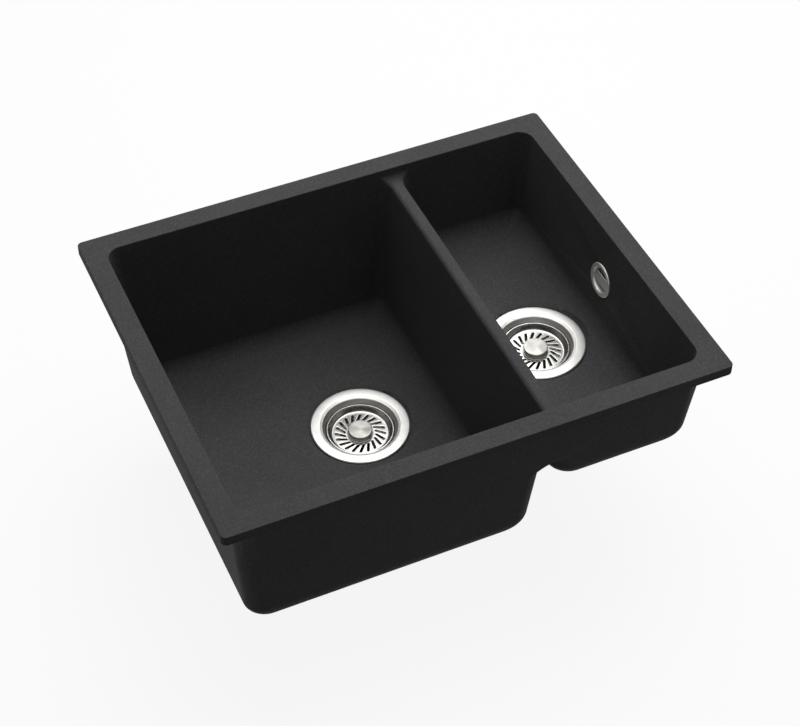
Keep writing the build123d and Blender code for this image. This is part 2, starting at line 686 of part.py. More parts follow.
def hose_clamp(along):
    """Band with its screw block, closed round one cuff of the hose."""
    band = ring(HOSE_RADIUS + 0.05, HOSE_RADIUS + CLAMP_SHEET, -CLAMP_WIDTH / 2, CLAMP_WIDTH / 2)
    block = Pos(HOSE_RADIUS + 2.2, 0, 0) * Box(*CLAMP_BLOCK)
    screw = Rot(90, 0, 0) * post(CLAMP_SCREW_RADIUS, 0, CLAMP_SCREW_LENGTH)
    screw = Pos(HOSE_RADIUS + 2.4, CLAMP_BLOCK[1] / 2 + CLAMP_SCREW_LENGTH - 0.5, 0) * screw
    clamp = band + (block + screw - post(HOSE_RADIUS + 0.4, -CLAMP_WIDTH, CLAMP_WIDTH))
    return hose_plane(along).location * clamp


# ---- Output -----------------------------------------------------------------------------------
pieces = {"sink_body": sink_body()}
for prefix, drain, flange, with_inlet in (
    ("main", MAIN_DRAIN, MAIN_FLANGE, False),
    ("half", HALF_DRAIN, HALF_FLANGE, True),
):
    for name, shape in waste_parts(with_inlet).items():
        pieces[f"{prefix}_{name}"] = Pos(*drain, flange) * shape
pieces["overflow_rosette"] = overflow_rosette()
pieces["overflow_gasket"] = overflow_gasket()
pieces["overflow_housing"] = overflow_housing()
pieces["overflow_hose"] = overflow_hose()
pieces["upper_hose_clamp"] = hose_clamp(SPIGOT_LENGTH / 2)
pieces["lower_hose_clamp"] = hose_clamp(HOSE_LENGTH - SPIGOT_LENGTH / 2)

os.makedirs("parts", exist_ok=True)
for name, shape in pieces.items():
    export_step(shape, f"parts/{name}.step")
    print(name, len(shape.solids()), round(shape.volume), shape.is_valid)
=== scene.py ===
"""Visible surfaces and finishes of a one-and-a-half bowl kitchen sink for mounting under a worktop.

The sink is a dark quartz composite casting with a stainless basket waste in each bowl and a barred
stainless overflow in the small bowl. Lengths here are millimetres until a mesh is made; meshes and
the scene are in metres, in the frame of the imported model.
"""

import logging
import math
from collections.abc import Callable, Sequence
from dataclasses import dataclass, field
from enum import Enum

import bmesh
import bpy
import numpy as np
from mathutils import Matrix, Vector


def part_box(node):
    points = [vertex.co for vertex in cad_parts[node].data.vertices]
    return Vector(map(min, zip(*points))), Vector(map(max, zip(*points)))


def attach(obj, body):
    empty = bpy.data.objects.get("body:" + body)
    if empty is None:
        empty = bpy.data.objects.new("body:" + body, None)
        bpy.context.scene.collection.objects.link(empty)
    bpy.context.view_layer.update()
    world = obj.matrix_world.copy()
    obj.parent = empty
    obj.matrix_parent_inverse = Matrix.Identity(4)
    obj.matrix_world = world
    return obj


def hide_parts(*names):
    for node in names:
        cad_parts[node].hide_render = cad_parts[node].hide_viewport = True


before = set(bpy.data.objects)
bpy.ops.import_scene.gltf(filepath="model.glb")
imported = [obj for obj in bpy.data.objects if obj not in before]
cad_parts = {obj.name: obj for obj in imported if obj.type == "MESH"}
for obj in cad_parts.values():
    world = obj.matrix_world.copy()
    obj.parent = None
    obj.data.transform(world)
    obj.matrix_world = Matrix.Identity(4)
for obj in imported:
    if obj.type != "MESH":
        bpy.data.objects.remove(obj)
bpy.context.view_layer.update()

MM = 0.001
WELD = 2e-6  # metres: points closer than this are one point
ARC_STEP = math.radians(15.0)  # largest turn between two points of an arc
LOG = logging.getLogger("sink")

Corner = tuple[float, float, float]  # distance from the axis, height and radius of the rounding


class Body(Enum):
    """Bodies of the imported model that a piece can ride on."""

    SINK = "sink"
    MAIN_STRAINER = "main_strainer"
    HALF_STRAINER = "half_strainer"


class Slot(Enum):
    """Material slots of the record."""

    COMPOSITE = "granite"
    POLISHED = "polished_steel"
    BRUSHED = "brushed_steel"
    FOAM = "foam"
    RUBBER = "rubber"
    PLASTIC = "plastic"
    CLIP = "clip_plastic"
    HOSE = "hose_plastic"
    BRASS = "brass"


# ---- Finishes -----------------------------------------------------------------------------------
def linear(colour: str) -> tuple[float, float, float, float]:
    """Turns an sRGB hex colour into the linear colour that shaders take.

    Args:
        colour: six hex digits, with a leading #.

    Returns:
        Linear red, green and blue from 0 to 1, and an alpha of 1.
    """
    parts = [int(colour[start:start + 2], 16) / 255 for start in (1, 3, 5)]
    red, green, blue = (v / 12.92 if v <= 0.04045 else ((v + 0.055) / 1.055) ** 2.4 for v in parts)
    return red, green, blue, 1.0


def add_node(
    tree: bpy.types.NodeTree, kind: str, inputs: dict[str | int, object] | None = None, **settings: object
) -> bpy.types.Node:
    """Adds one shader node.

    Args:
        tree: node tree to add to.
        kind: type of the node.
        inputs: value, or output socket to link from, for each named or numbered input.
        settings: properties of the node, such as operation.

    Returns:
        The new node.
    """
    made = tree.nodes.new(kind)
    for name, value in settings.items():
        setattr(made, name, value)
    for name, value in (inputs or {}).items():
        if isinstance(value, bpy.types.NodeSocket):
            tree.links.new(value, made.inputs[name])
        else:
            made.inputs[name].default_value = value
    return made


def blank_material(name: str) -> tuple[bpy.types.Material, bpy.types.NodeTree]:
    """Makes a material whose node tree is empty.

    Args:
        name: the material's name.

    Returns:
        The material and its node tree.
    """
    material = bpy.data.materials.new(name)
    material.use_nodes = True
    material.node_tree.nodes.clear()
    return material, material.node_tree


@dataclass(frozen=True)
class QuartzComposite:
    """Cast quartz sand in acrylic resin, left matt by the mould.

    The eye sees a near-black field with a fine, even sparkle of lighter grains and a dull skin that never
    mirrors.
    """

    name: str = "cast_quartz_composite"
    resin: str = "#404041"
    grain: str = "#4B4B4B"
    bright_grain: str = "#666664"
    grain_size: float = 1.0  # mm; the real sand is half that, too fine to show
    bright_spacing: float = 2.6  # mm between the brightest grains
    cloud_size: float = 60.0  # mm across the patches where the mix is a little paler or darker
    skin_depth: float = 0.03  # mm
    roughness: tuple[float, float] = (0.62, 0.72)
    specular: float = 0.05

    def material(self) -> bpy.types.Material:
        """Builds the material.

        Returns:
            The material.
        """
        material, tree = blank_material(self.name)
        place = add_node(tree, "ShaderNodeTexCoord").outputs["Object"]
        scale = 1 / (self.grain_size * MM)
        grains = add_node(tree, "ShaderNodeTexVoronoi", {"Vector": place, "Scale": scale})
        single = add_node(tree, "ShaderNodeSeparateColor", {"Color": grains.outputs["Color"]})
        mottle = add_node(
            tree, "ShaderNodeTexNoise", {"Vector": place, "Scale": scale * 0.6, "Detail": 2.0}
        ).outputs["Fac"]
        cloud = add_node(
            tree, "ShaderNodeTexNoise", {"Vector": place, "Scale": 1 / (self.cloud_size * MM), "Detail": 3.0}
        )
        sparse = add_node(
            tree, "ShaderNodeTexVoronoi", {"Vector": place, "Scale": 1 / (self.bright_spacing * MM)}
        )
        grain_share = add_node(tree, "ShaderNodeMapRange", {"Value": single.outputs["Red"], "From Min": 0.35})
        colour = add_node(tree, "ShaderNodeMix", {
            0: grain_share.outputs[0], 6: linear(self.resin), 7: linear(self.grain)
        }, data_type="RGBA")
        bright_share = add_node(tree, "ShaderNodeMapRange", {
            "Value": sparse.outputs["Distance"], "From Min": 0.13, "From Max": 0.20,
            "To Min": 0.75, "To Max": 0.0,
        })
        colour = add_node(tree, "ShaderNodeMix", {
            0: bright_share.outputs[0], 6: colour.outputs[2], 7: linear(self.bright_grain)
        }, data_type="RGBA")
        shade = add_node(tree, "ShaderNodeMapRange", {
            "Value": cloud.outputs["Fac"], "From Min": 0.3, "From Max": 0.7, "To Min": 0.94, "To Max": 1.06
        })
        colour = add_node(
            tree, "ShaderNodeVectorMath", {0: colour.outputs[2], "Scale": shade.outputs[0]}, operation="SCALE"
        )
        smooth, rough = self.roughness
        roughness = add_node(tree, "ShaderNodeMapRange", {
            "Value": mottle, "From Min": 0.35, "From Max": 0.65, "To Min": smooth, "To Max": rough
        })
        height = add_node(tree, "ShaderNodeMath", {0: grains.outputs["Distance"], 1: mottle}, operation="ADD")
        skin = {"Height": height.outputs[0], "Strength": 0.5, "Distance": self.skin_depth * MM}
        shader = add_node(tree, "ShaderNodeBsdfPrincipled", {
            "Base Color": colour.outputs[0],
            "Roughness": roughness.outputs[0],
            "Specular IOR Level": self.specular,
            "Normal": add_node(tree, "ShaderNodeBump", skin).outputs[0],
        })
        add_node(tree, "ShaderNodeOutputMaterial", {"Surface": shader.outputs[0]})
        return material


def build_finish(
    tree: bpy.types.NodeTree, pattern: bpy.types.NodeSocket, span: tuple[float, float],
    colours: tuple[str, str], roughness: tuple[float, float], skin: dict[str, object],
    settings: dict[str, object],
) -> None:
    """Ends a material in which one pattern blends two colours and two roughnesses over a fine skin.

    Args:
        tree: the material's node tree.
        pattern: output socket of the pattern.
        span: values of the pattern that give the first and the second look.
        colours: sRGB hex colours of the two looks.
        roughness: roughness of the two looks.
        skin: inputs of the bump that draws the skin.
        settings: the shader's other inputs.
    """
    limits = {"Value": pattern, "From Min": span[0], "From Max": span[1]}
    share = add_node(tree, "ShaderNodeMapRange", limits)
    colour = add_node(tree, "ShaderNodeMix", {
        0: share.outputs[0], 6: linear(colours[0]), 7: linear(colours[1])
    }, data_type="RGBA")
    rough = add_node(tree, "ShaderNodeMapRange", limits | {"To Min": roughness[0], "To Max": roughness[1]})
    shader = add_node(tree, "ShaderNodeBsdfPrincipled", {
        "Base Color": colour.outputs[2],
        "Roughness": rough.outputs[0],
        "Normal": add_node(tree, "ShaderNodeBump", skin).outputs[0],
    } | settings)
    add_node(tree, "ShaderNodeOutputMaterial", {"Surface": shader.outputs[0]})


@dataclass(frozen=True)
class TurnedMetal:
    """Stainless steel or brass finished on a lathe, with fine rings about the piece's axis.

    The eye sees a bright satin band that spreads every light across the rings, so that a flat round face
    shows a fan of light and dark sectors. The pattern reads the attributes ring, the distance along the
    turned outline in millimetres, and across, the direction square to the rings.
    """

    name: str = "turned_stainless"
    light: str = "#D6D5D2"
    dark: str = "#B4B3B0"
    ring_spacing: float = 0.35  # mm, coarser than real tool marks so that it shows
    smear_size: float = 9.0  # mm across the worn patches
    groove_depth: float = 0.006  # mm
    roughness: tuple[float, float] = (0.24, 0.34)
    anisotropy: float = 0.6

    def material(self) -> bpy.types.Material:
        """Builds the material.

        Returns:
            The material.
        """
        material, tree = blank_material(self.name)
        place = add_node(tree, "ShaderNodeTexCoord").outputs["Object"]
        ring = add_node(tree, "ShaderNodeAttribute", attribute_name="ring").outputs["Fac"]
        across = add_node(tree, "ShaderNodeAttribute", attribute_name="across").outputs["Vector"]
        lines = add_node(
            tree, "ShaderNodeTexNoise", {"W": ring, "Scale": 1 / self.ring_spacing, "Detail": 3.0},
            noise_dimensions="1D",
        ).outputs["Fac"]
        smear = add_node(
            tree, "ShaderNodeTexNoise", {"Vector": place, "Scale": 1 / (self.smear_size * MM), "Detail": 4.0}
        ).outputs["Fac"]
        worn = add_node(tree, "ShaderNodeMath", {0: lines, 1: smear}, operation="ADD").outputs[0]
        skin = {"Height": lines, "Strength": 0.6, "Distance": self.groove_depth * MM}
        metal = {"Metallic": 1.0, "Anisotropic": self.anisotropy, "Tangent": across}
        build_finish(tree, worn, (0.7, 1.3), (self.light, self.dark), self.roughness, skin, metal)
        return material


@dataclass(frozen=True)
class PressedSteel:
    """Stainless sheet, drawn in a press and bright-rolled.

    The eye sees soft, wide reflections with faint cloudy patches where the sheet was stretched.
    """

    name: str = "pressed_stainless"
    light: str = "#B2B1AE"
    dark: str = "#9B9A97"
    patch_size: float = 9.0  # mm
    grit: float = 0.5  # mm
    grit_depth: float = 0.003  # mm
    roughness: tuple[float, float] = (0.2, 0.28)

    def material(self) -> bpy.types.Material:
        """Builds the material.

        Returns:
            The material.
        """
        material, tree = blank_material(self.name)
        place = add_node(tree, "ShaderNodeTexCoord").outputs["Object"]
        patches = add_node(
            tree, "ShaderNodeTexNoise", {"Vector": place, "Scale": 1 / (self.patch_size * MM), "Detail": 4.0}
        ).outputs["Fac"]
        fine = add_node(
            tree, "ShaderNodeTexNoise", {"Vector": place, "Scale": 1 / (self.grit * MM), "Detail": 2.0}
        ).outputs["Fac"]
        skin = {"Height": fine, "Strength": 0.3, "Distance": self.grit_depth * MM}
        colours = (self.light, self.dark)
        build_finish(tree, patches, (0.3, 0.7), colours, self.roughness, skin, {"Metallic": 1.0})
        return material


@dataclass(frozen=True)
class Moulded:
    """Plastic, rubber or foam that takes its skin from the mould.

    The eye sees an even satin or dull field with a faint flow mottle and a fine pebbled skin.
    """

    name: str
    colour: str
    mottled: str
    roughness: tuple[float, float]
    pebble: float  # mm between the bumps of the skin
    pebble_depth: float  # mm
    ior: float = 1.5
    specular: float = 0.5
    subsurface: float = 0.0
    flow_size: float = 14.0  # mm across the mottle

    def material(self) -> bpy.types.Material:
        """Builds the material.

        Returns:
            The material.
        """
        material, tree = blank_material(self.name)
        place = add_node(tree, "ShaderNodeTexCoord").outputs["Object"]
        flow = add_node(
            tree, "ShaderNodeTexNoise", {"Vector": place, "Scale": 1 / (self.flow_size * MM), "Detail": 4.0}
        ).outputs["Fac"]
        pebbles = add_node(
            tree, "ShaderNodeTexVoronoi", {"Vector": place, "Scale": 1 / (self.pebble * MM)},
            feature="SMOOTH_F1",
        ).outputs["Distance"]
        skin = {"Height": pebbles, "Strength": 0.5, "Distance": self.pebble_depth * MM}
        build_finish(tree, flow, (0.3, 0.7), (self.colour, self.mottled), self.roughness, skin, {
            "IOR": self.ior,
            "Specular IOR Level": self.specular,
            "Subsurface Weight": self.subsurface,
            "Subsurface Scale": 1.0 * MM,
        })
        return material


COMPOSITE = QuartzComposite()
FLANGE_STEEL = TurnedMetal(
    "turned_stainless_flange", light="#C9C8C5", dark="#BBBAB7", groove_depth=0.003, roughness=(0.36, 0.44),
    anisotropy=0.3,
)
KNOB_STEEL = TurnedMetal(
    "turned_stainless_knob", light="#A5A4A0", dark="#83827E", roughness=(0.28, 0.36), anisotropy=0.8
)
# Painted light in part: the same stainless steel, given a paler colour than the flange's steel so that the
# rosette, which mirrors the dark inside of the bowl, still shows mid-grey; its wider roughness is the
# finish's own.
ROSETTE_STEEL_PAINTED_LIGHTER = TurnedMetal(
    "turned_stainless_rosette_painted_lighter", light="#DCDBD8", dark="#C8C7C4", roughness=(0.45, 0.55), anisotropy=0.2
)
BRASS = TurnedMetal("turned_brass", light="#C9A55A", dark="#A88743")
DRAWN_STEEL = PressedSteel()
CLIP_STEEL = PressedSteel("rolled_stainless_strip", light="#B2B1AE", dark="#9F9E9B", patch_size=4.0)
# Polypropylene: waxy, slightly translucent and satin.
HOUSING_PLASTIC = Moulded(
    "moulded_polypropylene", "#C9C8C4", "#BEBDB8", (0.42, 0.5), 0.7, 0.01, ior=1.49, subsurface=0.08
)
# The same plastic with soot in it, for the clip under the strainer.
CLIP_PLASTIC = Moulded("moulded_black_polypropylene", "#1B1B1C", "#232324", (0.4, 0.5), 0.7, 0.01, ior=1.49)
# Blow-moulded polyethylene hose: a greyer, softer wax.
HOSE_PLASTIC = Moulded("blown_polyethylene", "#B9B8B4", "#ABAAA6", (0.46, 0.56), 0.9, 0.015, ior=1.51)
# Nitrile rubber: near black and dull.
SEAL_RUBBER = Moulded("moulded_nitrile_rubber", "#1C1C1D", "#252526", (0.6, 0.72), 0.6, 0.015, ior=1.52)
# Closed-cell foam: black, with an open, cut skin.
GASKET_FOAM = Moulded("cut_cell_foam", "#222223", "#2E2E2F", (0.85, 0.95), 0.8, 0.12, ior=1.4, specular=0.3)

Finish = QuartzComposite | TurnedMetal | PressedSteel | Moulded
_MADE: dict[str, bpy.types.Material] = {}


def dressed(finish: Finish) -> bpy.types.Material:
    """Material of a finish, built once and then shared.

    Args:
        finish: the finish.

    Returns:
        Its material.
    """
    if finish.name not in _MADE:
        _MADE[finish.name] = finish.material()
    return _MADE[finish.name]


# ---- Surfaces -----------------------------------------------------------------------------------
@dataclass
class Grid:
    """Surface patch with points by row and column, in millimetres."""

    points: np.ndarray
    close_rows: bool = False
    close_columns: bool = False

    def faces(self, first: int) -> np.ndarray:
        """Corner numbers of the four-sided faces.

        Args:
            first: number of the patch's first point.

        Returns:
            One row of four corner numbers for each face.
        """
        rows, columns = self.points.shape[:2]
        row, column = np.meshgrid(
            np.arange(rows if self.close_rows else rows - 1),
            np.arange(columns if self.close_columns else columns - 1),
            indexing="ij",
        )
        next_row = (row + 1) % rows
        next_column = (column + 1) % columns
        corners = (row * columns + column, next_row * columns + column,
                   next_row * columns + next_column, row * columns + next_column)
        return first + np.stack([c.ravel() for c in corners], axis=1)


def rounded(corners: Sequence[Corner], closed: bool = True) -> np.ndarray:
    """Outline whose corners are arcs tangent to both of their sides.

    At a corner P, with unit directions a towards it and b away from it that differ by the turn t, an arc
    of radius R starts R tan(t/2) before P, and its centre is R / cos(t/2) from P along b - a.

    Args:
        corners: the corners in order, each with its radius.
        closed: whether the last corner joins the first.

    Returns:
        Points of the outline, one row of two numbers each.
    """
    spots = np.array([corner[:2] for corner in corners], float)
    made = []
    for number, here in enumerate(spots):
        at_end = not closed and number in (0, len(spots) - 1)
        before = here - spots[number - 1]
        after = spots[(number + 1) % len(spots)] - here
        before_length, after_length = np.hypot(*before), np.hypot(*after)
        if at_end or corners[number][2] == 0 or min(before_length, after_length) < 1e-9:
            made.append(here[None])
            continue
        before, after = before / before_length, after / after_length
        turn = math.acos(max(-1.0, min(1.0, float(before @ after))))
        if turn < math.radians(0.5):
            made.append(here[None])
            continue
        reach = min(corners[number][2] * math.tan(turn / 2), 0.49 * before_length, 0.49 * after_length)
        radius = reach / math.tan(turn / 2)
        across = after - before
        centre = here + across / np.hypot(*across) * radius / math.cos(turn / 2)
        start = here - before * reach - centre
        side = math.copysign(1.0, before[0] * after[1] - before[1] * after[0])
        angles = side * np.linspace(0, turn, math.ceil(turn / ARC_STEP) + 1)
        made.append(centre + np.stack([
            start[0] * np.cos(angles) - start[1] * np.sin(angles),
            start[0] * np.sin(angles) + start[1] * np.cos(angles),
        ], axis=1))
    return np.concatenate(made)


def finer(outline: np.ndarray, step: float) -> np.ndarray:
    """Outline with more points, so that no two are further apart than the step.

    Args:
        outline: points of an open outline.
        step: longest distance between neighbours.

    Returns:
        The outline with points added along its longer sides.
    """
    made = [outline[:1]]
    for here, there in zip(outline[:-1], outline[1:]):
        count = max(1, math.ceil(np.hypot(*(there - here)) / step))
        share = np.arange(1, count + 1)[:, None] / count
        made.append(here + (there - here) * share)
    return np.concatenate(made)


def turned(outline: np.ndarray, columns: int, phase: float = 0.0, closed: bool = True) -> Grid:
    """Surface of revolution: x = r cos a, y = r sin a, z = h for each outline point (r, h) and angle a.

    Args:
        outline: points (distance from the axis, height).
        columns: number of steps round the axis.
        phase: angle of the first step, in degrees.
        closed: whether the outline is closed.

    Returns:
        The surface.
    """
    angle = math.radians(phase) + np.arange(columns) * 2 * math.pi / columns
    radius, height = outline[:, 0, None], outline[:, 1, None]
    points = np.stack(np.broadcast_arrays(radius * np.cos(angle), radius * np.sin(angle), height), axis=-1)
    return Grid(points, close_rows=closed, close_columns=True)


def loops(*rings: np.ndarray) -> Grid:
    """Surface that joins closed rings of equally many points, one after the other."""
    return Grid(np.stack(rings), close_columns=True)


def at_height(ring: np.ndarray, height: float) -> np.ndarray:
    """Flat ring of (x, y) points, lifted to a height."""
    return np.column_stack([ring, np.full(len(ring), height)])


def spin(points: np.ndarray, degrees: float) -> np.ndarray:
    """Turns (x, y) points about the origin: (x cos a - y sin a, x sin a + y cos a).

    Args:
        points: the points, with x and y along the last axis.
        degrees: the angle a.

    Returns:
        The turned points.
    """
    turn = math.radians(degrees)
    right, up = math.cos(turn), math.sin(turn)
    x, y = points[..., 0], points[..., 1]
    return np.stack([x * right - y * up, x * up + y * right], axis=-1)


def sheet_with_holes(
    hole: Callable[[float], np.ndarray], cell: np.ndarray, count: int, top: float, thickness: float,
    edge: float,
) -> list[Grid]:
    """Level ring of sheet metal pierced by equal holes, as one cell that is turned about Z.

    A cell is two nets of loops, over and under the sheet, that run from the hole's outline to the cell's
    own outline, and a wall between them. The hole's edge is rounded over by a quarter circle.

    Args:
        hole: gives the hole's outline, widened by an amount.
        cell: outline of the cell, with as many points as the hole's.
        count: number of cells round the axis.
        top: height of the sheet's upper face.
        thickness: thickness of the sheet.
        edge: radius of the rounding of the hole's edges.

    Returns:
        One surface for each cell.
    """
    bottom = top - thickness
    turn = np.radians([0.0, 30.0, 60.0, 90.0])
    over = [(edge * (1 - math.cos(t)), top - edge * (1 - math.sin(t))) for t in turn]
    under = [(edge * (1 - math.cos(t)), bottom + edge * (1 - math.sin(t))) for t in turn[::-1]]
    middle = (hole(edge) + cell) / 2
    rings = [at_height(cell, bottom), at_height(middle, bottom)]
    rings += [at_height(hole(widen), height) for widen, height in under + over]
    rings += [at_height(middle, top), at_height(cell, top)]
    made = []
    for number in range(count):
        turned_rings = []
        for ring in rings:
            flat = spin(ring[:, :2], number * 360 / count)
            turned_rings.append(np.column_stack([flat, ring[:, 2]]))
        made.append(loops(*turned_rings))
    return made


def tube(centres: np.ndarray, side: np.ndarray, lift: np.ndarray, radii: np.ndarray, columns: int) -> Grid:
    """Round surface along a path: point = centre + r (side cos a + lift sin a).

    Args:
        centres: points of the path.
        side: unit direction square to the path, for each point.
        lift: unit direction square to the path and to side, for each point.
        radii: radius at each point.
        columns: number of steps round the path.

    Returns:
        The surface, with open ends.
    """
    angle = np.arange(columns) * 2 * math.pi / columns
    ring = side[:, None] * np.cos(angle)[None, :, None] + lift[:, None] * np.sin(angle)[None, :, None]
    return Grid(centres[:, None] + radii[:, None, None] * ring, close_columns=True)


def prism(outline: np.ndarray, bottom: float, top: float, edge: float) -> list[Grid]:
    """Plate with rounded edges over a convex outline, its faces drawn in to the middle.

    The outline shrinks towards its middle m as m + (p - m) s, with s less than 1 over the rounding.

    Args:
        outline: (x, y) points of the outline.
        bottom: height of the lower face.
        top: height of the upper face.
        edge: radius of the edges.

    Returns:
        The plate's surface.
    """
    middle = outline.mean(axis=0)
    reach = np.abs(outline - middle).max(axis=0)
    pole = np.tile(middle, (len(outline), 1))
    turn = np.radians([0.0, 45.0, 90.0])
    heights = [(bottom + edge * (1 - math.cos(t)), edge * (1 - math.sin(t))) for t in turn]
    heights += [(top - edge * (1 - math.cos(t)), edge * (1 - math.sin(t))) for t in turn[::-1]]
    rings = [at_height(pole, bottom)]
    for height, inset in heights:
        rings.append(at_height(middle + (outline - middle) * (1 - inset / reach), height))
    rings.append(at_height(pole, top))
    return [loops(*rings)]


def moved(grids: Sequence[Grid], place: Matrix) -> list[Grid]:
    """Surfaces carried by a placement.

    Args:
        grids: the surfaces.
        place: the placement, with its offset in millimetres.

    Returns:
        The surfaces in their new place.
    """
    turn = np.array(place.to_3x3())
    offset = np.array(place.translation)
    return [Grid(g.points @ turn.T + offset, g.close_rows, g.close_columns) for g in grids]


# ---- Pieces -------------------------------------------------------------------------------------
def finish_piece(
    piece: bpy.types.Object, finish: Finish, body: Body, stands_for: Sequence[str]
) -> bpy.types.Object:
    """Gives a piece its material, the body that it rides on and the nodes that it stands for.

    Args:
        piece: the piece, in place.
        finish: its finish.
        body: the body that carries it.
        stands_for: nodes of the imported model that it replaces.

    Returns:
        The same piece.
    """
    piece.data.materials.clear()
    piece.data.materials.append(dressed(finish))
    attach(piece, body.value)
    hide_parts(*stands_for)
    LOG.info("%s: %d faces in %s", piece.name, len(piece.data.polygons), finish.name)
    return piece


def mark_turning(mesh: bpy.types.Mesh, place: Matrix) -> None:
    """Writes the attributes ring and across that lathe marks follow.

    With r the distance from the axis and h the height on it, ring is r + 1.3 h, in millimetres: it changes
    steadily along flat faces and walls alike. The direction across is the unit vector away from the axis.

    Args:
        mesh: the finished mesh, in metres.
        place: placement of the piece's axis, with its offset in millimetres.
    """
    spots = np.empty(len(mesh.vertices) * 3)
    mesh.vertices.foreach_get("co", spots)
    turn = np.array(place.to_3x3())
    local = (spots.reshape(-1, 3) / MM - np.array(place.translation)) @ turn
    radius = np.hypot(local[:, 0], local[:, 1])
    ring = mesh.attributes.new("ring", "FLOAT", "POINT")
    ring.data.foreach_set("value", radius + 1.3 * local[:, 2])
    away = np.column_stack([local[:, :2] / np.maximum(radius, 1e-6)[:, None], np.zeros(len(radius))]) @ turn.T
    across = mesh.attributes.new("across", "FLOAT_VECTOR", "POINT")
    across.data.foreach_set("vector", away.ravel())


def add_object(name: str, data: bpy.types.ID) -> bpy.types.Object:
    """Puts a mesh, a lamp or a camera in the scene.

    Args:
        name: name of the object.
        data: what the object shows.

    Returns:
        The object, at the origin.
    """
    made = bpy.data.objects.new(name, data)
    bpy.context.scene.collection.objects.link(made)
    return made


def make_piece(name: str, grids: Sequence[Grid], place: Matrix, sharp: float = 35.0) -> bpy.types.Object:
    """Makes one mesh object of several surfaces, welded along their shared edges.

    Args:
        name: name of the object.
        grids: surfaces in the piece's own millimetres.
        place: where the piece's axis stands, with its offset in millimetres.
        sharp: edges that turn by more degrees than this stay crisp.

    Returns:
        The object, at the origin, with its place in its mesh.
    """
    grids = moved(grids, place)
    spots, faces, first = [], [], 0
    for grid in grids:
        spots.append(grid.points.reshape(-1, 3))
        faces.append(grid.faces(first))
        first += len(spots[-1])
    mesh = bpy.data.meshes.new(name)
    mesh.from_pydata(np.concatenate(spots) * MM, [], np.concatenate(faces).tolist())
    weld(mesh)
    mark_turning(mesh, place)
    mesh.shade_smooth()
    mesh.set_sharp_from_angle(angle=math.radians(sharp))
    return add_object(name, mesh)


def weld(mesh: bpy.types.Mesh, turn_outwards: bool = True) -> None:
    """Merges doubled points, drops faces with no area and, if asked, turns every face outwards.

    Args:
        mesh: mesh to mend.
        turn_outwards: whether the faces' directions are worked out afresh.
    """
    work = bmesh.new()
    work.from_mesh(mesh)
    bmesh.ops.remove_doubles(work, verts=work.verts, dist=WELD)
    bmesh.ops.dissolve_degenerate(work, edges=work.edges, dist=WELD)
    if turn_outwards:
        bmesh.ops.recalc_face_normals(work, faces=work.faces)
    work.to_mesh(mesh)
    work.free()


def cad_copy(name: str, node: str, sharp: float, bevel: float = 0.0) -> bpy.types.Object:
    """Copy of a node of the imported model, merged into one smooth surface.

    Args:
        name: name of the copy.
        node: the node to copy.
        sharp: edges that turn by more degrees than this stay crisp.
        bevel: radius given to the crisp edges, in millimetres.

    Returns:
        The copy, with normals that lie flat on the larger faces.
    """
    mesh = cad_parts[node].data.copy()
    mesh.name = name
    weld(mesh, turn_outwards=False)
    mesh.shade_smooth()
    mesh.set_sharp_from_angle(angle=math.radians(sharp))
    piece = add_object(name, mesh)
    if bevel:
        merge_flat_faces(mesh)
        rounding = piece.modifiers.new("edges", "BEVEL")
        rounding.width = bevel * MM
        rounding.segments = 2
        rounding.limit_method = "ANGLE"
        rounding.angle_limit = math.radians(sharp)
        rounding.harden_normals = True
    flat = piece.modifiers.new("flat_faces_first", "WEIGHTED_NORMAL")
    flat.mode = "FACE_AREA"
    flat.weight = 100
    flat.keep_sharp = True
    return piece


def merge_flat_faces(mesh: bpy.types.Mesh) -> None:
    """Joins the triangles of each flat face into one face, so that a bevel runs along real edges only.

    Args:
        mesh: mesh to simplify.
    """
    work = bmesh.new()
    work.from_mesh(mesh)
    bmesh.ops.dissolve_limit(
        work, angle_limit=math.radians(1.0), verts=work.verts, edges=work.edges, delimit={"NORMAL"}
    )
    work.to_mesh(mesh)
    work.free()


# ---- Sink body ----------------------------------------------------------------------------------
@dataclass
class SinkBody:
    """The casting: rim, both bowls, divider and drain seats."""

    sharp: float = 50.0

    def build(self) -> None:
        """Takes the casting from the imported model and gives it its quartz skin."""
        piece = cad_copy("composite_casting", "sink_body", self.sharp)
        finish_piece(piece, COMPOSITE, Body.SINK, ["sink_body"])


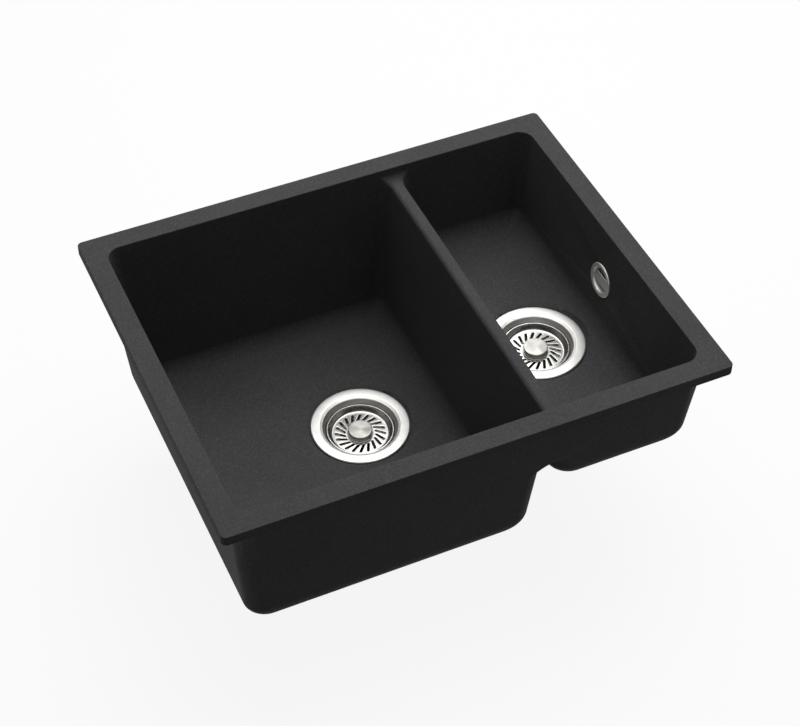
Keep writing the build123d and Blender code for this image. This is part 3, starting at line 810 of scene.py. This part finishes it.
# ---- Wastes -------------------------------------------------------------------------------------
@dataclass
class BasketWaste:
    """One waste: flanged cup, lift-out strainer, gaskets and housing. Heights are below the flange's top."""

    prefix: str
    strainer_body: Body
    has_inlet: bool
    columns: int = 160
    flange_radius: float = 57.0
    flange_drop: float = 2.3
    sheet: float = 1.0
    cup_floor: float = 34.0
    screw_hole: float = 3.2
    cup_openings: int = 5
    opening_radius: float = 19.0
    opening_width: float = 10.0
    opening_arc: float = 28.0
    boss_face: float = 10.5
    gasket_face: float = 14.5
    recess_floor: float = 3.5
    rim_radius: float = 38.6
    rim_top: float = 7.2
    basket_floor: float = 14.2
    basket_sheet: float = 0.8
    slot_count: int = 20
    slot_width: float = 2.8
    slot_inner: float = 16.8
    slot_outer: float = 29.3
    slot_slant: float = 25.0
    knob_radius: float = 13.8
    knob_waist: float = 12.2
    knob_collar: float = 15.0
    knurl_teeth: int = 72
    knurl_depth: float = 0.2
    stem_radius: float = 3.5
    stem_tip: float = 2.4
    stem_end: float = 33.0
    seal_radius: float = 27.0
    seal_hole: float = 9.0
    seal_top: float = 31.0
    retainer_radius: float = 20.0
    retainer_top: float = 27.0
    retainer_roof: float = 2.6
    foam_inner: float = 46.5
    foam_outer: float = 55.8
    rubber_inner: float = 46.0
    housing_radius: float = 54.0
    housing_inner: float = 42.0
    housing_neck: float = 44.6
    shoulder: float = 30.0
    hub_radius: float = 7.0
    hub_bore: float = 3.1
    hub_top: float = 35.0
    web_top: float = 36.0
    web_end: float = 52.0
    web_sheet: float = 2.6
    nut_radius: float = 5.5
    nut_bore: float = 3.0
    nut_top: float = 42.0
    nut_end: float = 54.0
    outlet_shoulder: float = 25.6
    outlet_radius: float = 23.9
    outlet_bore: float = 20.6
    outlet_top: float = 56.0
    thread_top: float = 60.5
    outlet_end: float = 76.0
    thread_pitch: float = 2.31  # eleven turns to the inch
    thread_depth: float = 1.1
    inlet_drop: float = 50.0
    inlet_reach: float = 38.5
    spigot_length: float = 16.0
    place: Matrix = field(init=False)

    def __post_init__(self) -> None:
        """Finds the waste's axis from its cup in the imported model."""
        low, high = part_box(f"{self.prefix}_waste_cup")
        middle = (low + high) / 2 / MM
        top = low.z / MM + self.cup_floor + self.sheet
        self.place = Matrix.Translation((middle.x, middle.y, top))

    def node(self, name: str) -> str:
        """Name of one of this waste's nodes."""
        return f"{self.prefix}_{name}"

    def add(
        self, name: str, grids: Sequence[Grid], finish: Finish, slot: Slot, stands_for: str,
        moves: bool = False,
    ) -> None:
        """Makes one piece of the waste.

        Args:
            name: the piece's name, without the waste's own.
            grids: its surfaces, with the flange's top at height zero.
            finish: its finish.
            slot: the record's material slot; not used.
            stands_for: node that it replaces, without the waste's name.
            moves: whether it lifts out with the strainer.
        """
        piece = make_piece(self.node(name), grids, self.place)
        body = self.strainer_body if moves else Body.SINK
        finish_piece(piece, finish, body, [self.node(stands_for)])

    def cell(
        self, inner: float, outer: float, start: float, end: float, count: int, side: int, cap: int
    ) -> np.ndarray:
        """Outline of one cell of a pierced ring: straight sides from the inner arc to the outer one.

        Args:
            inner: radius of the inner arc.
            outer: radius of the outer arc.
            start: angle of the middle of the inner arc, in degrees.
            end: angle of the middle of the outer arc.
            count: number of cells in the ring.
            side: number of steps along a side.
            cap: number of steps along an arc.

        Returns:
            (x, y) points: out along the left side, along the outer arc, back in, and along the inner arc.
        """
        half = 180 / count
        share = np.arange(side)[:, None] / side

        def corner(radius: float, degrees: float) -> np.ndarray:
            """Point on a circle, at an angle in degrees."""
            return radius * np.array([math.cos(math.radians(degrees)), math.sin(math.radians(degrees))])

        def arc(radius: float, first: float, last: float) -> np.ndarray:
            """Points along a circle from one angle towards another, in degrees."""
            angle = np.radians(first + (last - first) * np.arange(cap) / cap)
            return radius * np.column_stack([np.cos(angle), np.sin(angle)])

        low_in, low_out = corner(inner, start + half), corner(outer, end + half)
        high_out, high_in = corner(outer, end - half), corner(inner, start - half)
        return np.concatenate([
            low_in + (low_out - low_in) * share,
            arc(outer, end + half, end - half),
            high_out + (high_in - high_out) * share,
            arc(inner, start - half, start + half),
        ])

    def stadium(self, widen: float, side: int, cap: int) -> np.ndarray:
        """Outline of one slanted slot: two straight sides and two half-round ends.

        Args:
            widen: amount added all round.
            side: number of steps along a side.
            cap: number of steps along an end.

        Returns:
            (x, y) points in the same order as a cell's.
        """
        radius = self.slot_width / 2 + widen
        middle = (self.slot_inner + self.slot_outer) / 2
        reach = self.slot_outer - self.slot_inner - self.slot_width
        length = reach / math.cos(math.radians(self.slot_slant))
        share = np.arange(side) / side
        angle = math.pi / 2 - math.pi * np.arange(cap) / cap
        ahead = np.column_stack([(share - 0.5) * length, np.full(side, radius)])
        end = np.column_stack([length / 2 + radius * np.cos(angle), radius * np.sin(angle)])
        outline = np.concatenate([ahead, end, -ahead, -end])
        return spin(outline, -self.slot_slant) + np.array([middle, 0.0])

    def kidney(self, widen: float, side: int, cap: int) -> np.ndarray:
        """Outline of one opening of the cup's floor: two arcs about the axis and two half-round ends.

        Args:
            widen: amount added all round.
            side: number of steps along an end.
            cap: number of steps along an arc.

        Returns:
            (x, y) points in the same order as a cell's.
        """
        radius = self.opening_width / 2 + widen
        half = self.opening_arc / 2
        turn = np.pi * np.arange(side) / side
        sweep = np.radians(half - 2 * half * np.arange(cap) / cap)
        end = np.column_stack([self.opening_radius - radius * np.cos(turn), radius * np.sin(turn)])
        outer = (self.opening_radius + radius) * np.column_stack([np.cos(sweep), np.sin(sweep)])
        other = np.column_stack([self.opening_radius + radius * np.cos(turn), -radius * np.sin(turn)])
        inner = (self.opening_radius - radius) * np.column_stack([np.cos(sweep), -np.sin(sweep)])
        return np.concatenate([spin(end, half), outer, spin(other, -half), inner])

    def build_cup(self) -> None:
        """Drawn cup: domed flange, three fine turned steps, seat for the basket and pierced floor."""
        floor, sheet = -self.cup_floor, self.sheet
        inner, outer = 11.0, 26.0
        side, cap = 6, 32
        outline = rounded([
            (outer, floor, 0.0),
            (36.1, floor, 3.0),
            (39.9, -7.4, 0.8),
            (42.2, -2.4, 1.0),
            (43.3, -1.55, 0.2),
            (43.9, -1.45, 0.15),
            (44.4, -0.95, 0.15),
            (45.1, -0.85, 0.15),
            (45.6, -0.35, 0.15),
            (46.6, -0.2, 0.8),
            (51.5, 0.0, 40.0),
            (self.flange_radius - 1.2, -0.1, 1.2),
            (self.flange_radius, -1.1, 0.8),
            (self.flange_radius, -self.flange_drop, 0.45),
            (self.flange_radius - sheet, -self.flange_drop, 0.45),
            (self.flange_radius - sheet, -1.5, 0.3),
            (self.flange_radius - 1.7, -sheet, 0.4),
            (44.6, -1.75, 0.5),
            (43.0, -2.8, 0.8),
            (41.0, -7.7, 1.0),
            (37.1, floor - sheet, 4.0),
            (outer, floor - sheet, 0.0),
        ], closed=False)
        phase = 180 / self.cup_openings
        middle = rounded([
            (inner, floor, 0.0),
            (self.screw_hole, floor, 0.0),
            (self.screw_hole, floor - sheet, 0.0),
            (inner, floor - sheet, 0.0),
        ], closed=False)
        start = 90.0
        grids = [
            turned(outline, self.columns, start + phase, closed=False),
            turned(middle, self.columns, start + phase, closed=False),
        ]
        grids += sheet_with_holes(
            lambda widen: spin(self.kidney(widen, side, cap), start),
            self.cell(inner, outer, start, start, self.cup_openings, side, cap),
            self.cup_openings, floor, sheet, 0.2,
        )
        self.add("flanged_cup", grids, FLANGE_STEEL, Slot.POLISHED, "waste_cup")

    def build_basket(self) -> None:
        """Pressed basket: rolled rim, curved wall and a flat floor with slanted slots."""
        floor, sheet = -self.basket_floor, self.basket_sheet
        side, cap = 10, 8
        inner, outer = 15.6, 30.0
        slant = math.radians(self.slot_slant)
        middle = (self.slot_inner + self.slot_outer) / 2

        def bearing(radius: float) -> float:
            """Angle at which a slot's middle line crosses a circle, in degrees."""
            foot = middle * math.sin(slant)
            return math.degrees(math.asin(foot / radius)) - self.slot_slant

        start, end = bearing(inner), bearing(outer)
        half = 180 / self.slot_count
        wall = rounded([
            (outer, floor, 0.0),
            (33.2, floor, 4.5),
            (36.75, -self.rim_top - 0.6, 0.5),
            (37.0, -self.rim_top, 0.55),
            (self.rim_radius, -self.rim_top, 0.75),
            (self.rim_radius, -self.rim_top - 1.6, 0.75),
            (37.3, -self.rim_top - 1.7, 0.4),
            (33.7, floor - sheet, 5.0),
            (outer, floor - sheet, 0.0),
        ], closed=False)
        hub = rounded([
            (inner, floor, 0.0),
            (self.stem_radius + 0.1, floor, 0.0),
            (self.stem_radius + 0.1, floor - sheet, 0.0),
            (inner, floor - sheet, 0.0),
        ], closed=False)
        grids = [
            turned(wall, self.columns, end + half, closed=False),
            turned(hub, self.columns, start + half, closed=False),
        ]
        grids += sheet_with_holes(
            lambda widen: self.stadium(widen, side, cap),
            self.cell(inner, outer, start, end, self.slot_count, side, cap),
            self.slot_count, floor, sheet, 0.25,
        )
        self.add("strainer_dish", grids, DRAWN_STEEL, Slot.POLISHED, "strainer_basket", moves=True)

    def build_knob(self) -> None:
        """Turned button with a knurled edge: r grows and shrinks by a triangle wave round the edge."""
        top = -self.rim_top
        outline = finer(rounded([
            (0.0, top, 0.0),
            (self.knob_radius - 0.6, top, 0.2),
            (self.knob_radius, top - 0.6, 0.25),
            (self.knob_radius, top - 2.3, 0.3),
            (self.knob_waist, top - 3.5, 0.6),
            (self.knob_waist, -self.basket_floor + 0.7, 0.5),
            (self.knob_collar, -self.basket_floor + 0.7, 0.3),
            (self.knob_collar, -self.basket_floor, 0.0),
            (0.0, -self.basket_floor, 0.0),
        ], closed=False), 2.5)
        columns = 4 * self.knurl_teeth
        grid = turned(outline, columns, closed=False)
        tooth = np.abs((np.arange(columns) / 4) % 1.0 - 0.5) * 2 - 0.5
        on_edge = np.clip(1.6 - np.abs(outline[:, 1] - (top - 1.5)) / 0.5, 0.0, 1.0) * (outline[:, 0] > 13.0)
        cut = self.knurl_depth / self.knob_radius * on_edge[:, None] * (0.5 - tooth)
        grid.points[..., :2] *= 1 - cut[..., None]
        self.add("strainer_button", [grid], KNOB_STEEL, Slot.BRUSHED, "strainer_knob", moves=True)

    def build_stem_and_seal(self) -> None:
        """Stem, rubber seal disc and the clip that holds the disc."""
        ceiling = -self.retainer_top - self.retainer_roof
        stem = rounded([
            (0.0, -self.basket_floor, 0.0),
            (self.stem_radius, -self.basket_floor, 0.0),
            (self.stem_radius, ceiling, 0.3),
            (self.stem_tip, ceiling, 0.2),
            (self.stem_tip, -self.stem_end + 1.4, 0.3),
            (self.stem_tip - 0.5, -self.stem_end + 0.8, 0.3),
            (self.stem_tip - 0.8, -self.stem_end, 0.4),
            (0.0, -self.stem_end, 0.0),
        ], closed=False)
        pin = turned(stem, 48, closed=False)
        self.add("strainer_pin", [pin], KNOB_STEEL, Slot.BRUSHED, "strainer_stem", moves=True)
        floor = -self.cup_floor
        seal = rounded([
            (self.seal_hole, floor, 0.2),
            (22.0, floor, 0.2),
            (22.6, floor + 0.4, 0.3),
            (24.4, floor + 0.4, 0.3),
            (25.0, floor, 0.2),
            (self.seal_radius, floor, 0.6),
            (self.seal_radius, -self.seal_top, 0.9),
            (self.seal_hole, -self.seal_top, 0.2),
        ])
        self.add("seal_disc", [turned(seal, 96)], SEAL_RUBBER, Slot.RUBBER, "strainer_seal", moves=True)
        clip = rounded([
            (self.stem_radius, -self.retainer_top, 0.2),
            (self.seal_hole, -self.retainer_top, 0.6),
            (self.seal_hole, ceiling, 0.6),
            (self.retainer_radius, ceiling, 0.5),
            (self.retainer_radius, -self.seal_top, 0.2),
            (self.seal_hole, -self.seal_top, 0.2),
            (self.seal_hole, floor + 0.5, 0.3),
            (7.1, floor + 0.5, 0.3),
            (7.1, ceiling, 0.3),
            (self.stem_radius, ceiling, 0.1),
        ])
        self.add("seal_clip", [turned(clip, 72)], CLIP_PLASTIC, Slot.CLIP, "seal_retainer", moves=True)

    def build_gaskets(self) -> None:
        """Foam ring under the flange and rubber ring under the drain seat, with rounded edges."""
        foam = rounded([
            (self.foam_inner, -self.recess_floor, 0.3),
            (self.foam_outer, -self.recess_floor, 0.5),
            (self.foam_outer, -1.75, 0.3),
            (self.foam_outer - 0.7, -1.15, 0.3),
            (self.foam_inner, -1.8, 0.3),
        ])
        self.add("foam_ring", [turned(foam, 96)], GASKET_FOAM, Slot.FOAM, "flange_gasket")
        rubber = rounded([
            (self.rubber_inner, -self.gasket_face, 0.3),
            (self.housing_radius - 1.4, -self.gasket_face, 0.2),
            (self.housing_radius - 1.0, -self.gasket_face + 0.7, 0.4),
            (self.housing_radius, -self.gasket_face + 1.2, 0.6),
            (self.housing_radius, -self.boss_face - 0.8, 0.6),
            (self.housing_radius - 1.0, -self.boss_face, 0.4),
            (self.rubber_inner, -self.boss_face, 0.3),
        ])
        self.add("rubber_ring", [turned(rubber, 96)], SEAL_RUBBER, Slot.RUBBER, "lower_gasket")

    def build_housing(self) -> None:
        """Moulded housing: flange, cone, hub on two crossed webs and a threaded outlet.

        The thread is r = crest - depth w, where w is a blunt triangle wave of h / pitch - a / 2 pi.
        """
        top = -self.gasket_face
        outline = finer(rounded([
            (self.housing_inner, top, 0.4),
            (self.housing_radius, top, 0.4),
            (self.housing_radius, top - 3.5, 0.6),
            (self.housing_neck + 2.0, top - 3.5, 0.8),
            (self.housing_neck, top - 5.5, 1.0),
            (self.housing_neck, -self.shoulder - 0.9, 2.5),
            (self.outlet_shoulder, -self.outlet_top + 2.0, 2.5),
            (self.outlet_shoulder, -self.thread_top, 0.4),
            (self.outlet_radius, -self.thread_top, 0.2),
            (self.outlet_radius, -self.outlet_end, 0.7),
            (self.outlet_bore, -self.outlet_end, 0.4),
            (self.outlet_bore, -self.outlet_top, 1.5),
            (self.housing_inner, -self.shoulder, 2.5),
        ]), self.thread_pitch / 7)
        columns = 96
        grid = turned(outline, columns)
        angle = np.arange(columns) / columns
        wave = np.abs((outline[:, 1, None] / self.thread_pitch - angle) % 1.0 - 0.5) * 2
        blunt = np.clip(wave * 1.5 - 0.25, 0.0, 1.0)
        near_end = np.minimum(-self.thread_top - 1.0 - outline[:, 1], outline[:, 1] + self.outlet_end - 1.0)
        on_thread = outline[:, 0] > self.outlet_radius - 0.3
        depth = np.clip(near_end, 0.0, 1.0) * on_thread * self.thread_depth
        grid.points[..., :2] *= (1 - depth[:, None] * blunt / self.outlet_radius)[..., None]
        grids = [grid, turned(rounded([
            (self.hub_bore, -self.hub_top, 0.3),
            (self.hub_radius, -self.hub_top, 0.6),
            (self.hub_radius, -self.outlet_top, 0.6),
            (self.hub_bore, -self.outlet_top, 0.3),
        ]), 40)]
        lean = (self.housing_inner - self.outlet_bore) / (self.outlet_top - self.shoulder)
        into_wall = self.housing_inner + 1.0
        wide = into_wall - lean * (self.web_top - self.shoulder)
        narrow = into_wall - lean * (self.web_end - self.shoulder)
        foot = self.hub_radius - 2.0
        web = np.array([
            (foot, -self.web_end), (narrow, -self.web_end), (wide, -self.web_top), (foot, -self.web_top)
        ])
        stand = Matrix.Rotation(math.radians(90), 4, "X")
        for number in range(4):
            turn = Matrix.Rotation(math.radians(45 + 90 * number), 4, "Z")
            grids += moved(prism(web, -self.web_sheet / 2, self.web_sheet / 2, 0.3), turn @ stand)
        if self.has_inlet:
            grids += self.inlet()
        self.add("drain_housing", grids, HOUSING_PLASTIC, Slot.PLASTIC, "waste_housing")

    def inlet(self) -> list[Grid]:
        """Side inlet with its hose spigot, pointing along +X.

        Returns:
            Its surfaces.
        """
        neck = rounded([
            (5.2, 26.2, 0.0),
            (9.5, 26.2, 0.0),
            (9.5, self.inlet_reach, 0.8),
            (6.7, self.inlet_reach, 0.3),
            (6.7, self.inlet_reach + self.spigot_length, 0.6),
            (5.2, self.inlet_reach + self.spigot_length, 0.3),
        ])
        aim = Matrix.Translation((0, 0, -self.inlet_drop)) @ Matrix.Rotation(math.radians(90), 4, "Y")
        return moved([turned(neck, 48)], aim)

    def build_hardware(self) -> None:
        """Long clamp screw, and the brass nut moulded into the hub."""
        screw = cad_copy(self.node("long_screw"), self.node("clamp_screw"), 30.0, bevel=0.15)
        mark_turning(screw.data, self.place)
        finish_piece(screw, KNOB_STEEL, Body.SINK, [self.node("clamp_screw")])
        nut = make_piece(self.node("brass_nut"), [turned(rounded([
            (self.nut_bore, -self.nut_end, 0.3),
            (self.nut_radius, -self.nut_end, 0.4),
            (self.nut_radius, -self.nut_top, 0.4),
            (self.nut_bore, -self.nut_top, 0.3),
        ]), 48)], self.place)
        finish_piece(nut, BRASS, Body.SINK, [self.node("insert_nut")])

    def build(self) -> None:
        """Builds every piece of the waste."""
        self.build_cup()
        self.build_basket()
        self.build_knob()
        self.build_stem_and_seal()
        self.build_gaskets()
        self.build_housing()
        self.build_hardware()


# ---- Overflow -----------------------------------------------------------------------------------
@dataclass
class Overflow:
    """Rosette in the small bowl's wall, the chamber behind it and the hose down to the waste."""

    draft: float = 4.86  # degrees by which the bowl's wall leans
    wall_top_x: float = 256.0  # where that wall meets the rim's top plane
    wall: float = 8.5
    drop: float = 64.0
    radius: float = 20.5
    bore: float = 14.0
    bevel: float = 15.8
    collar: float = 16.0
    proud: float = 1.2
    bar_top: float = 6.5
    bar_bottom: float = -7.0
    bar_sheet: float = 1.4
    gasket: float = 2.0
    gasket_bore: float = 17.3
    gasket_radius: float = 21.5
    place: Matrix = field(init=False)

    def __post_init__(self) -> None:
        """Sets the rosette's own frame on the leaning wall: Z into the bowl and Y up the wall."""
        lean = math.radians(self.draft)
        into = Vector((-math.cos(lean), 0.0, math.sin(lean)))
        sideways = Vector((0.0, -1.0, 0.0))
        up = into.cross(sideways)
        turn = Matrix((sideways, up, into)).transposed().to_4x4()
        x = self.wall_top_x - math.tan(lean) * self.drop
        self.place = Matrix.Translation((x, 0.0, -self.drop)) @ turn

    def build_rosette(self) -> None:
        """Bevelled ring with its collar and the flat bar across it."""
        back = -self.wall - self.gasket - 4.4
        ring = rounded([
            (self.bore, -0.5, 0.2),
            (self.bevel, self.proud, 0.35),
            (self.radius - 0.8, self.proud, 0.5),
            (self.radius, self.proud - 0.6, 0.4),
            (self.radius, 0.05, 0.05),
            (self.collar, 0.05, 0.1),
            (self.collar, back, 0.4),
            (self.bore, back, 0.3),
        ])
        reach = self.bore + 0.5
        low = math.asin(self.bar_bottom / reach)
        high = math.asin(self.bar_top / reach)
        right = np.linspace(low, high, 12)
        arc = reach * np.column_stack([np.cos(right), np.sin(right)])
        outline = np.concatenate([arc, arc[::-1] * np.array([-1.0, 1.0])])
        bar = prism(outline, -0.4 - self.bar_sheet, -0.4, 0.25)
        piece = make_piece("overflow_ring", [turned(ring, 96), *bar], self.place)
        finish_piece(piece, ROSETTE_STEEL_PAINTED_LIGHTER, Body.SINK, ["overflow_rosette"])

    def build_chamber(self) -> None:
        """Foam ring behind the wall, and the moulded chamber with its spigot."""
        back = -self.wall * math.cos(math.radians(self.draft))
        foam = rounded([
            (self.gasket_bore, back - self.gasket, 0.3),
            (self.gasket_radius, back - self.gasket, 0.5),
            (self.gasket_radius, back, 0.5),
            (self.gasket_bore, back, 0.3),
        ])
        piece = make_piece("overflow_foam_ring", [turned(foam, 72)], self.place)
        finish_piece(piece, GASKET_FOAM, Body.SINK, ["overflow_gasket"])
        chamber = cad_copy("overflow_chamber", "overflow_housing", 30.0, bevel=0.5)
        finish_piece(chamber, HOUSING_PLASTIC, Body.SINK, ["overflow_housing"])

    def build(self) -> None:
        """Builds the rosette and the chamber."""
        self.build_rosette()
        self.build_chamber()


@dataclass
class OverflowHose:
    """Ribbed hose from the chamber's spigot down and round to the small waste's inlet, with two clips."""

    inlet_x: float = 212.4
    inlet_z: float = -181.0
    neck_x: float = 268.5
    top: float = 88.0
    bend: float = 36.5
    radius: float = 9.0
    valley: float = 7.6
    bore: float = 6.75
    cuff: float = 18.0
    ribs: int = 24
    rows_per_rib: int = 10
    columns: int = 40
    clip_place: float = 8.0
    clip_width: float = 7.0

    @property
    def down(self) -> float:
        """Length of the straight stretch below the spigot."""
        return -self.top - (self.inlet_z + self.bend)

    @property
    def length(self) -> float:
        """Length of the whole middle line."""
        return self.down + self.bend * math.pi / 2 + self.neck_x - self.bend - self.inlet_x

    def line(self, along: np.ndarray) -> tuple[np.ndarray, np.ndarray]:
        """Middle line: straight down, a quarter circle, then level towards the inlet.

        With t = (along - down) / bend held between 0 and a right angle, the point is the bend's centre
        plus bend (cos t, -sin t), plus the straight lengths before and after the bend.

        Args:
            along: distances from the upper end.

        Returns:
            Points of the line, and the unit direction in which it is heading.
        """
        turn = np.clip((along - self.down) / self.bend, 0.0, math.pi / 2)
        before = np.clip(self.down - along, 0.0, None)
        after = np.clip(along - self.down - self.bend * math.pi / 2, 0.0, None)
        x = self.neck_x - self.bend + self.bend * np.cos(turn) - after
        z = self.inlet_z + self.bend - self.bend * np.sin(turn) + before
        nothing = np.zeros_like(along)
        return np.column_stack([x, nothing, z]), np.column_stack([-np.sin(turn), nothing, -np.cos(turn)])

    def build_hose(self) -> None:
        """Hose wall: r = valley + (crest - valley) w over the ribs, w being a flattened sine wave."""
        rows = self.ribs * self.rows_per_rib
        ribbed = np.linspace(self.cuff, self.length - self.cuff, rows + 1)
        cuff_rows = np.array([0.0, 0.4, 1.2])
        along = np.concatenate([cuff_rows, ribbed, self.length - cuff_rows[::-1]])
        share = (along - self.cuff) / (self.length - 2 * self.cuff) * self.ribs
        wave = np.clip(0.5 + 0.85 * np.cos(2 * math.pi * share), 0.0, 1.0)
        inside = (along > self.cuff) & (along < self.length - self.cuff)
        outer = np.where(inside, self.valley + (self.radius - self.valley) * wave, self.radius)
        outer[[0, -1]] -= 0.4
        centres, heading = self.line(along)
        side = np.tile([0.0, 1.0, 0.0], (len(along), 1))
        lift = np.cross(heading, side)
        skin = tube(centres, side, lift, outer, self.columns)
        lining = tube(centres, side, lift, np.full(len(along), self.bore), self.columns)
        wall = Grid(np.concatenate([skin.points, lining.points[::-1]]), close_rows=True, close_columns=True)
        piece = make_piece("ribbed_hose", [wall], Matrix.Identity(4), sharp=60.0)
        finish_piece(piece, HOSE_PLASTIC, Body.SINK, ["overflow_hose"])

    def clip(self, along: float) -> tuple[list[Grid], Matrix]:
        """One hose clip: flat band with rolled edges, screw saddle and slotted hexagon screw.

        Args:
            along: its distance from the hose's upper end.

        Returns:
            Its surfaces about its own axis, and its placement.
        """
        centres, heading = self.line(np.array([along]))
        ahead = Vector(heading[0])
        side = Vector((0.0, 1.0, 0.0))
        turn = Matrix((side, ahead.cross(side), ahead)).transposed().to_4x4()
        half = self.clip_width / 2
        inner, outer = self.radius + 0.05, self.radius + 0.8
        band = turned(rounded([
            (inner, -half, 0.2), (outer, -half, 0.3), (outer, half, 0.3), (inner, half, 0.2)
        ]), 64)
        saddle = np.array([(outer - 0.3, -3.5), (outer + 1.9, -3.2), (outer + 3.0, -1.6), (outer + 3.0, 1.6),
                           (outer + 1.9, 3.2), (outer - 0.3, 3.5)])
        shank = rounded([(0.0, -3.0, 0.0), (1.4, -3.0, 0.2), (1.4, 3.2, 0.0), (0.0, 3.2, 0.0)], closed=False)
        head = np.array([(2.2 * math.cos(math.radians(a)), 2.2 * math.sin(math.radians(a)))
                         for a in range(30, 390, 60)])
        aim = Matrix.Translation((outer + 1.6, 0.0, 0.0)) @ Matrix.Rotation(math.radians(90), 4, "X")
        grids = [band, *prism(saddle, -half + 0.6, half - 0.6, 0.4)]
        grids += moved([turned(shank, 24, closed=False)], aim @ Matrix.Translation((0, 0, -6.0)))
        grids += moved(prism(head, -9.0, -6.4, 0.3), aim @ Matrix.Translation((0, 0, 1.2)))
        return grids, Matrix.Translation(Vector(centres[0])) @ turn

    def build(self) -> None:
        """Builds the hose and both clips."""
        self.build_hose()
        for name, along in (("upper", self.clip_place), ("lower", self.length - self.clip_place)):
            grids, place = self.clip(along)
            piece = make_piece(f"{name}_clip", grids, place)
            finish_piece(piece, CLIP_STEEL, Body.SINK, [f"{name}_hose_clamp"])


# ---- Studio -------------------------------------------------------------------------------------
@dataclass
class Studio:
    """Plain pale floor, white surroundings, one soft lamp and the camera."""

    floor_height: float = -280.0
    floor_size: float = 6000.0
    floor_colour: str = "#A0A09E"
    floor_colour_seen: str = "#F6F6F4"
    camera_show: float = 0.9  # how much of the floor's look is plain white to the camera
    ambient: float = 0.08
    lamp_place: tuple[float, float, float] = (0.45, 0.62, 1.62)  # metres
    lamp_target: tuple[float, float, float] = (0.0, 0.0, -0.1)
    lamp_size: tuple[float, float] = (1.8, 2.4)
    lamp_power: float = 48.0  # watts
    azimuth: float = -24.49  # degrees
    elevation: float = 46.14
    roll: float = 0.39
    distance: float = 2002.7
    target: tuple[float, float, float] = (-32.13, -82.36, 0.0)
    lens: float = 87.97
    sensor: float = 36.0
    far: float = 50.0  # metres that the camera sees

    def build_floor(self) -> None:
        """Level floor that takes the shadow, with a shader that shows itself nearly white."""
        half = self.floor_size / 2
        corners = np.array([(-half, -half), (half, -half), (half, half), (-half, half)])
        mesh = bpy.data.meshes.new("floor")
        mesh.from_pydata(at_height(corners, self.floor_height) * MM, [], [(0, 1, 2, 3)])
        floor = add_object("floor", mesh)
        material, tree = blank_material("pale_floor")
        seen = self.seen_directly(tree)
        share = add_node(tree, "ShaderNodeMath", {0: seen, 1: self.camera_show}, operation="MULTIPLY")
        colour = add_node(tree, "ShaderNodeMix", {
            0: seen, 6: linear(self.floor_colour), 7: linear(self.floor_colour_seen)
        }, data_type="RGBA")
        matt = add_node(tree, "ShaderNodeBsdfDiffuse", {"Color": colour.outputs[2]})
        glow = add_node(tree, "ShaderNodeEmission", {"Color": linear("#FFFFFF"), "Strength": 1.0})
        mix = add_node(tree, "ShaderNodeMixShader", {
            0: share.outputs[0], 1: matt.outputs[0], 2: glow.outputs[0]
        })
        add_node(tree, "ShaderNodeOutputMaterial", {"Surface": mix.outputs[0]})
        mesh.materials.append(material)

    def seen_directly(self, tree: bpy.types.NodeTree) -> bpy.types.NodeSocket:
        """Tells rays that show a surface from rays that light one.

        Args:
            tree: node tree to add to.

        Returns:
            Output socket that is 1 for camera, glossy and transmission rays and 0 for the rest.
        """
        path = add_node(tree, "ShaderNodeLightPath")
        first = add_node(tree, "ShaderNodeMath", {
            0: path.outputs["Is Camera Ray"], 1: path.outputs["Is Glossy Ray"]
        }, operation="MAXIMUM")
        both = add_node(tree, "ShaderNodeMath", {
            0: first.outputs[0], 1: path.outputs["Is Transmission Ray"]
        }, operation="MAXIMUM")
        return both.outputs[0]

    def build_world(self) -> None:
        """White surroundings for what is seen and mirrored, and a low even light for the rest."""
        world = bpy.data.worlds.new("studio")
        world.use_nodes = True
        world.node_tree.nodes.clear()
        tree = world.node_tree
        strength = add_node(
            tree, "ShaderNodeMapRange", {"Value": self.seen_directly(tree), "To Min": self.ambient}
        ).outputs[0]
        light = add_node(tree, "ShaderNodeBackground", {"Color": linear("#FFFFFF"), "Strength": strength})
        add_node(tree, "ShaderNodeOutputWorld", {"Surface": light.outputs[0]})
        bpy.context.scene.world = world

    def build_lamp(self) -> None:
        """Wide soft lamp that hangs behind and to the right of the sink and faces it."""
        data = bpy.data.lights.new("overhead_lamp", "AREA")
        data.shape = "RECTANGLE"
        data.size, data.size_y = self.lamp_size
        data.energy = self.lamp_power
        lamp = add_object("overhead_lamp", data)
        lamp.location = self.lamp_place
        towards = Vector(self.lamp_target) - Vector(self.lamp_place)
        lamp.rotation_euler = towards.to_track_quat("-Z", "Y").to_euler()

    def build_camera(self) -> None:
        """Camera at the photograph's angle, with its small roll."""
        azimuth, elevation, roll = (math.radians(v) for v in (self.azimuth, self.elevation, self.roll))
        back = Vector((
            math.sin(azimuth) * math.cos(elevation),
            -math.cos(azimuth) * math.cos(elevation),
            math.sin(elevation),
        ))
        level = Vector((math.cos(azimuth), math.sin(azimuth), 0.0))
        up = back.cross(level)
        right = level * math.cos(roll) + up * math.sin(roll)
        data = bpy.data.cameras.new("camera")
        data.lens = self.lens
        data.sensor_width = self.sensor
        data.clip_end = self.far
        camera = add_object("camera", data)
        turn = Matrix((right, back.cross(right), back)).transposed().to_4x4()
        spot = (Vector(self.target) + back * self.distance) * MM
        camera.matrix_world = Matrix.Translation(spot) @ turn
        bpy.context.scene.camera = camera

    def build(self) -> None:
        """Builds the floor, the light and the camera."""
        self.build_camera()
        self.build_floor()
        self.build_world()
        self.build_lamp()
        bpy.context.scene.view_settings.view_transform = "Standard"


def main() -> None:
    """Builds the studio and every sub-assembly of the sink in turn."""
    logging.basicConfig(level=logging.INFO, format="%(name)s: %(message)s")
    Studio().build()
    SinkBody().build()
    BasketWaste("main", Body.MAIN_STRAINER, has_inlet=False).build()
    BasketWaste("half", Body.HALF_STRAINER, has_inlet=True).build()
    Overflow().build()
    OverflowHose().build()


if __name__ == "__main__":
    main()
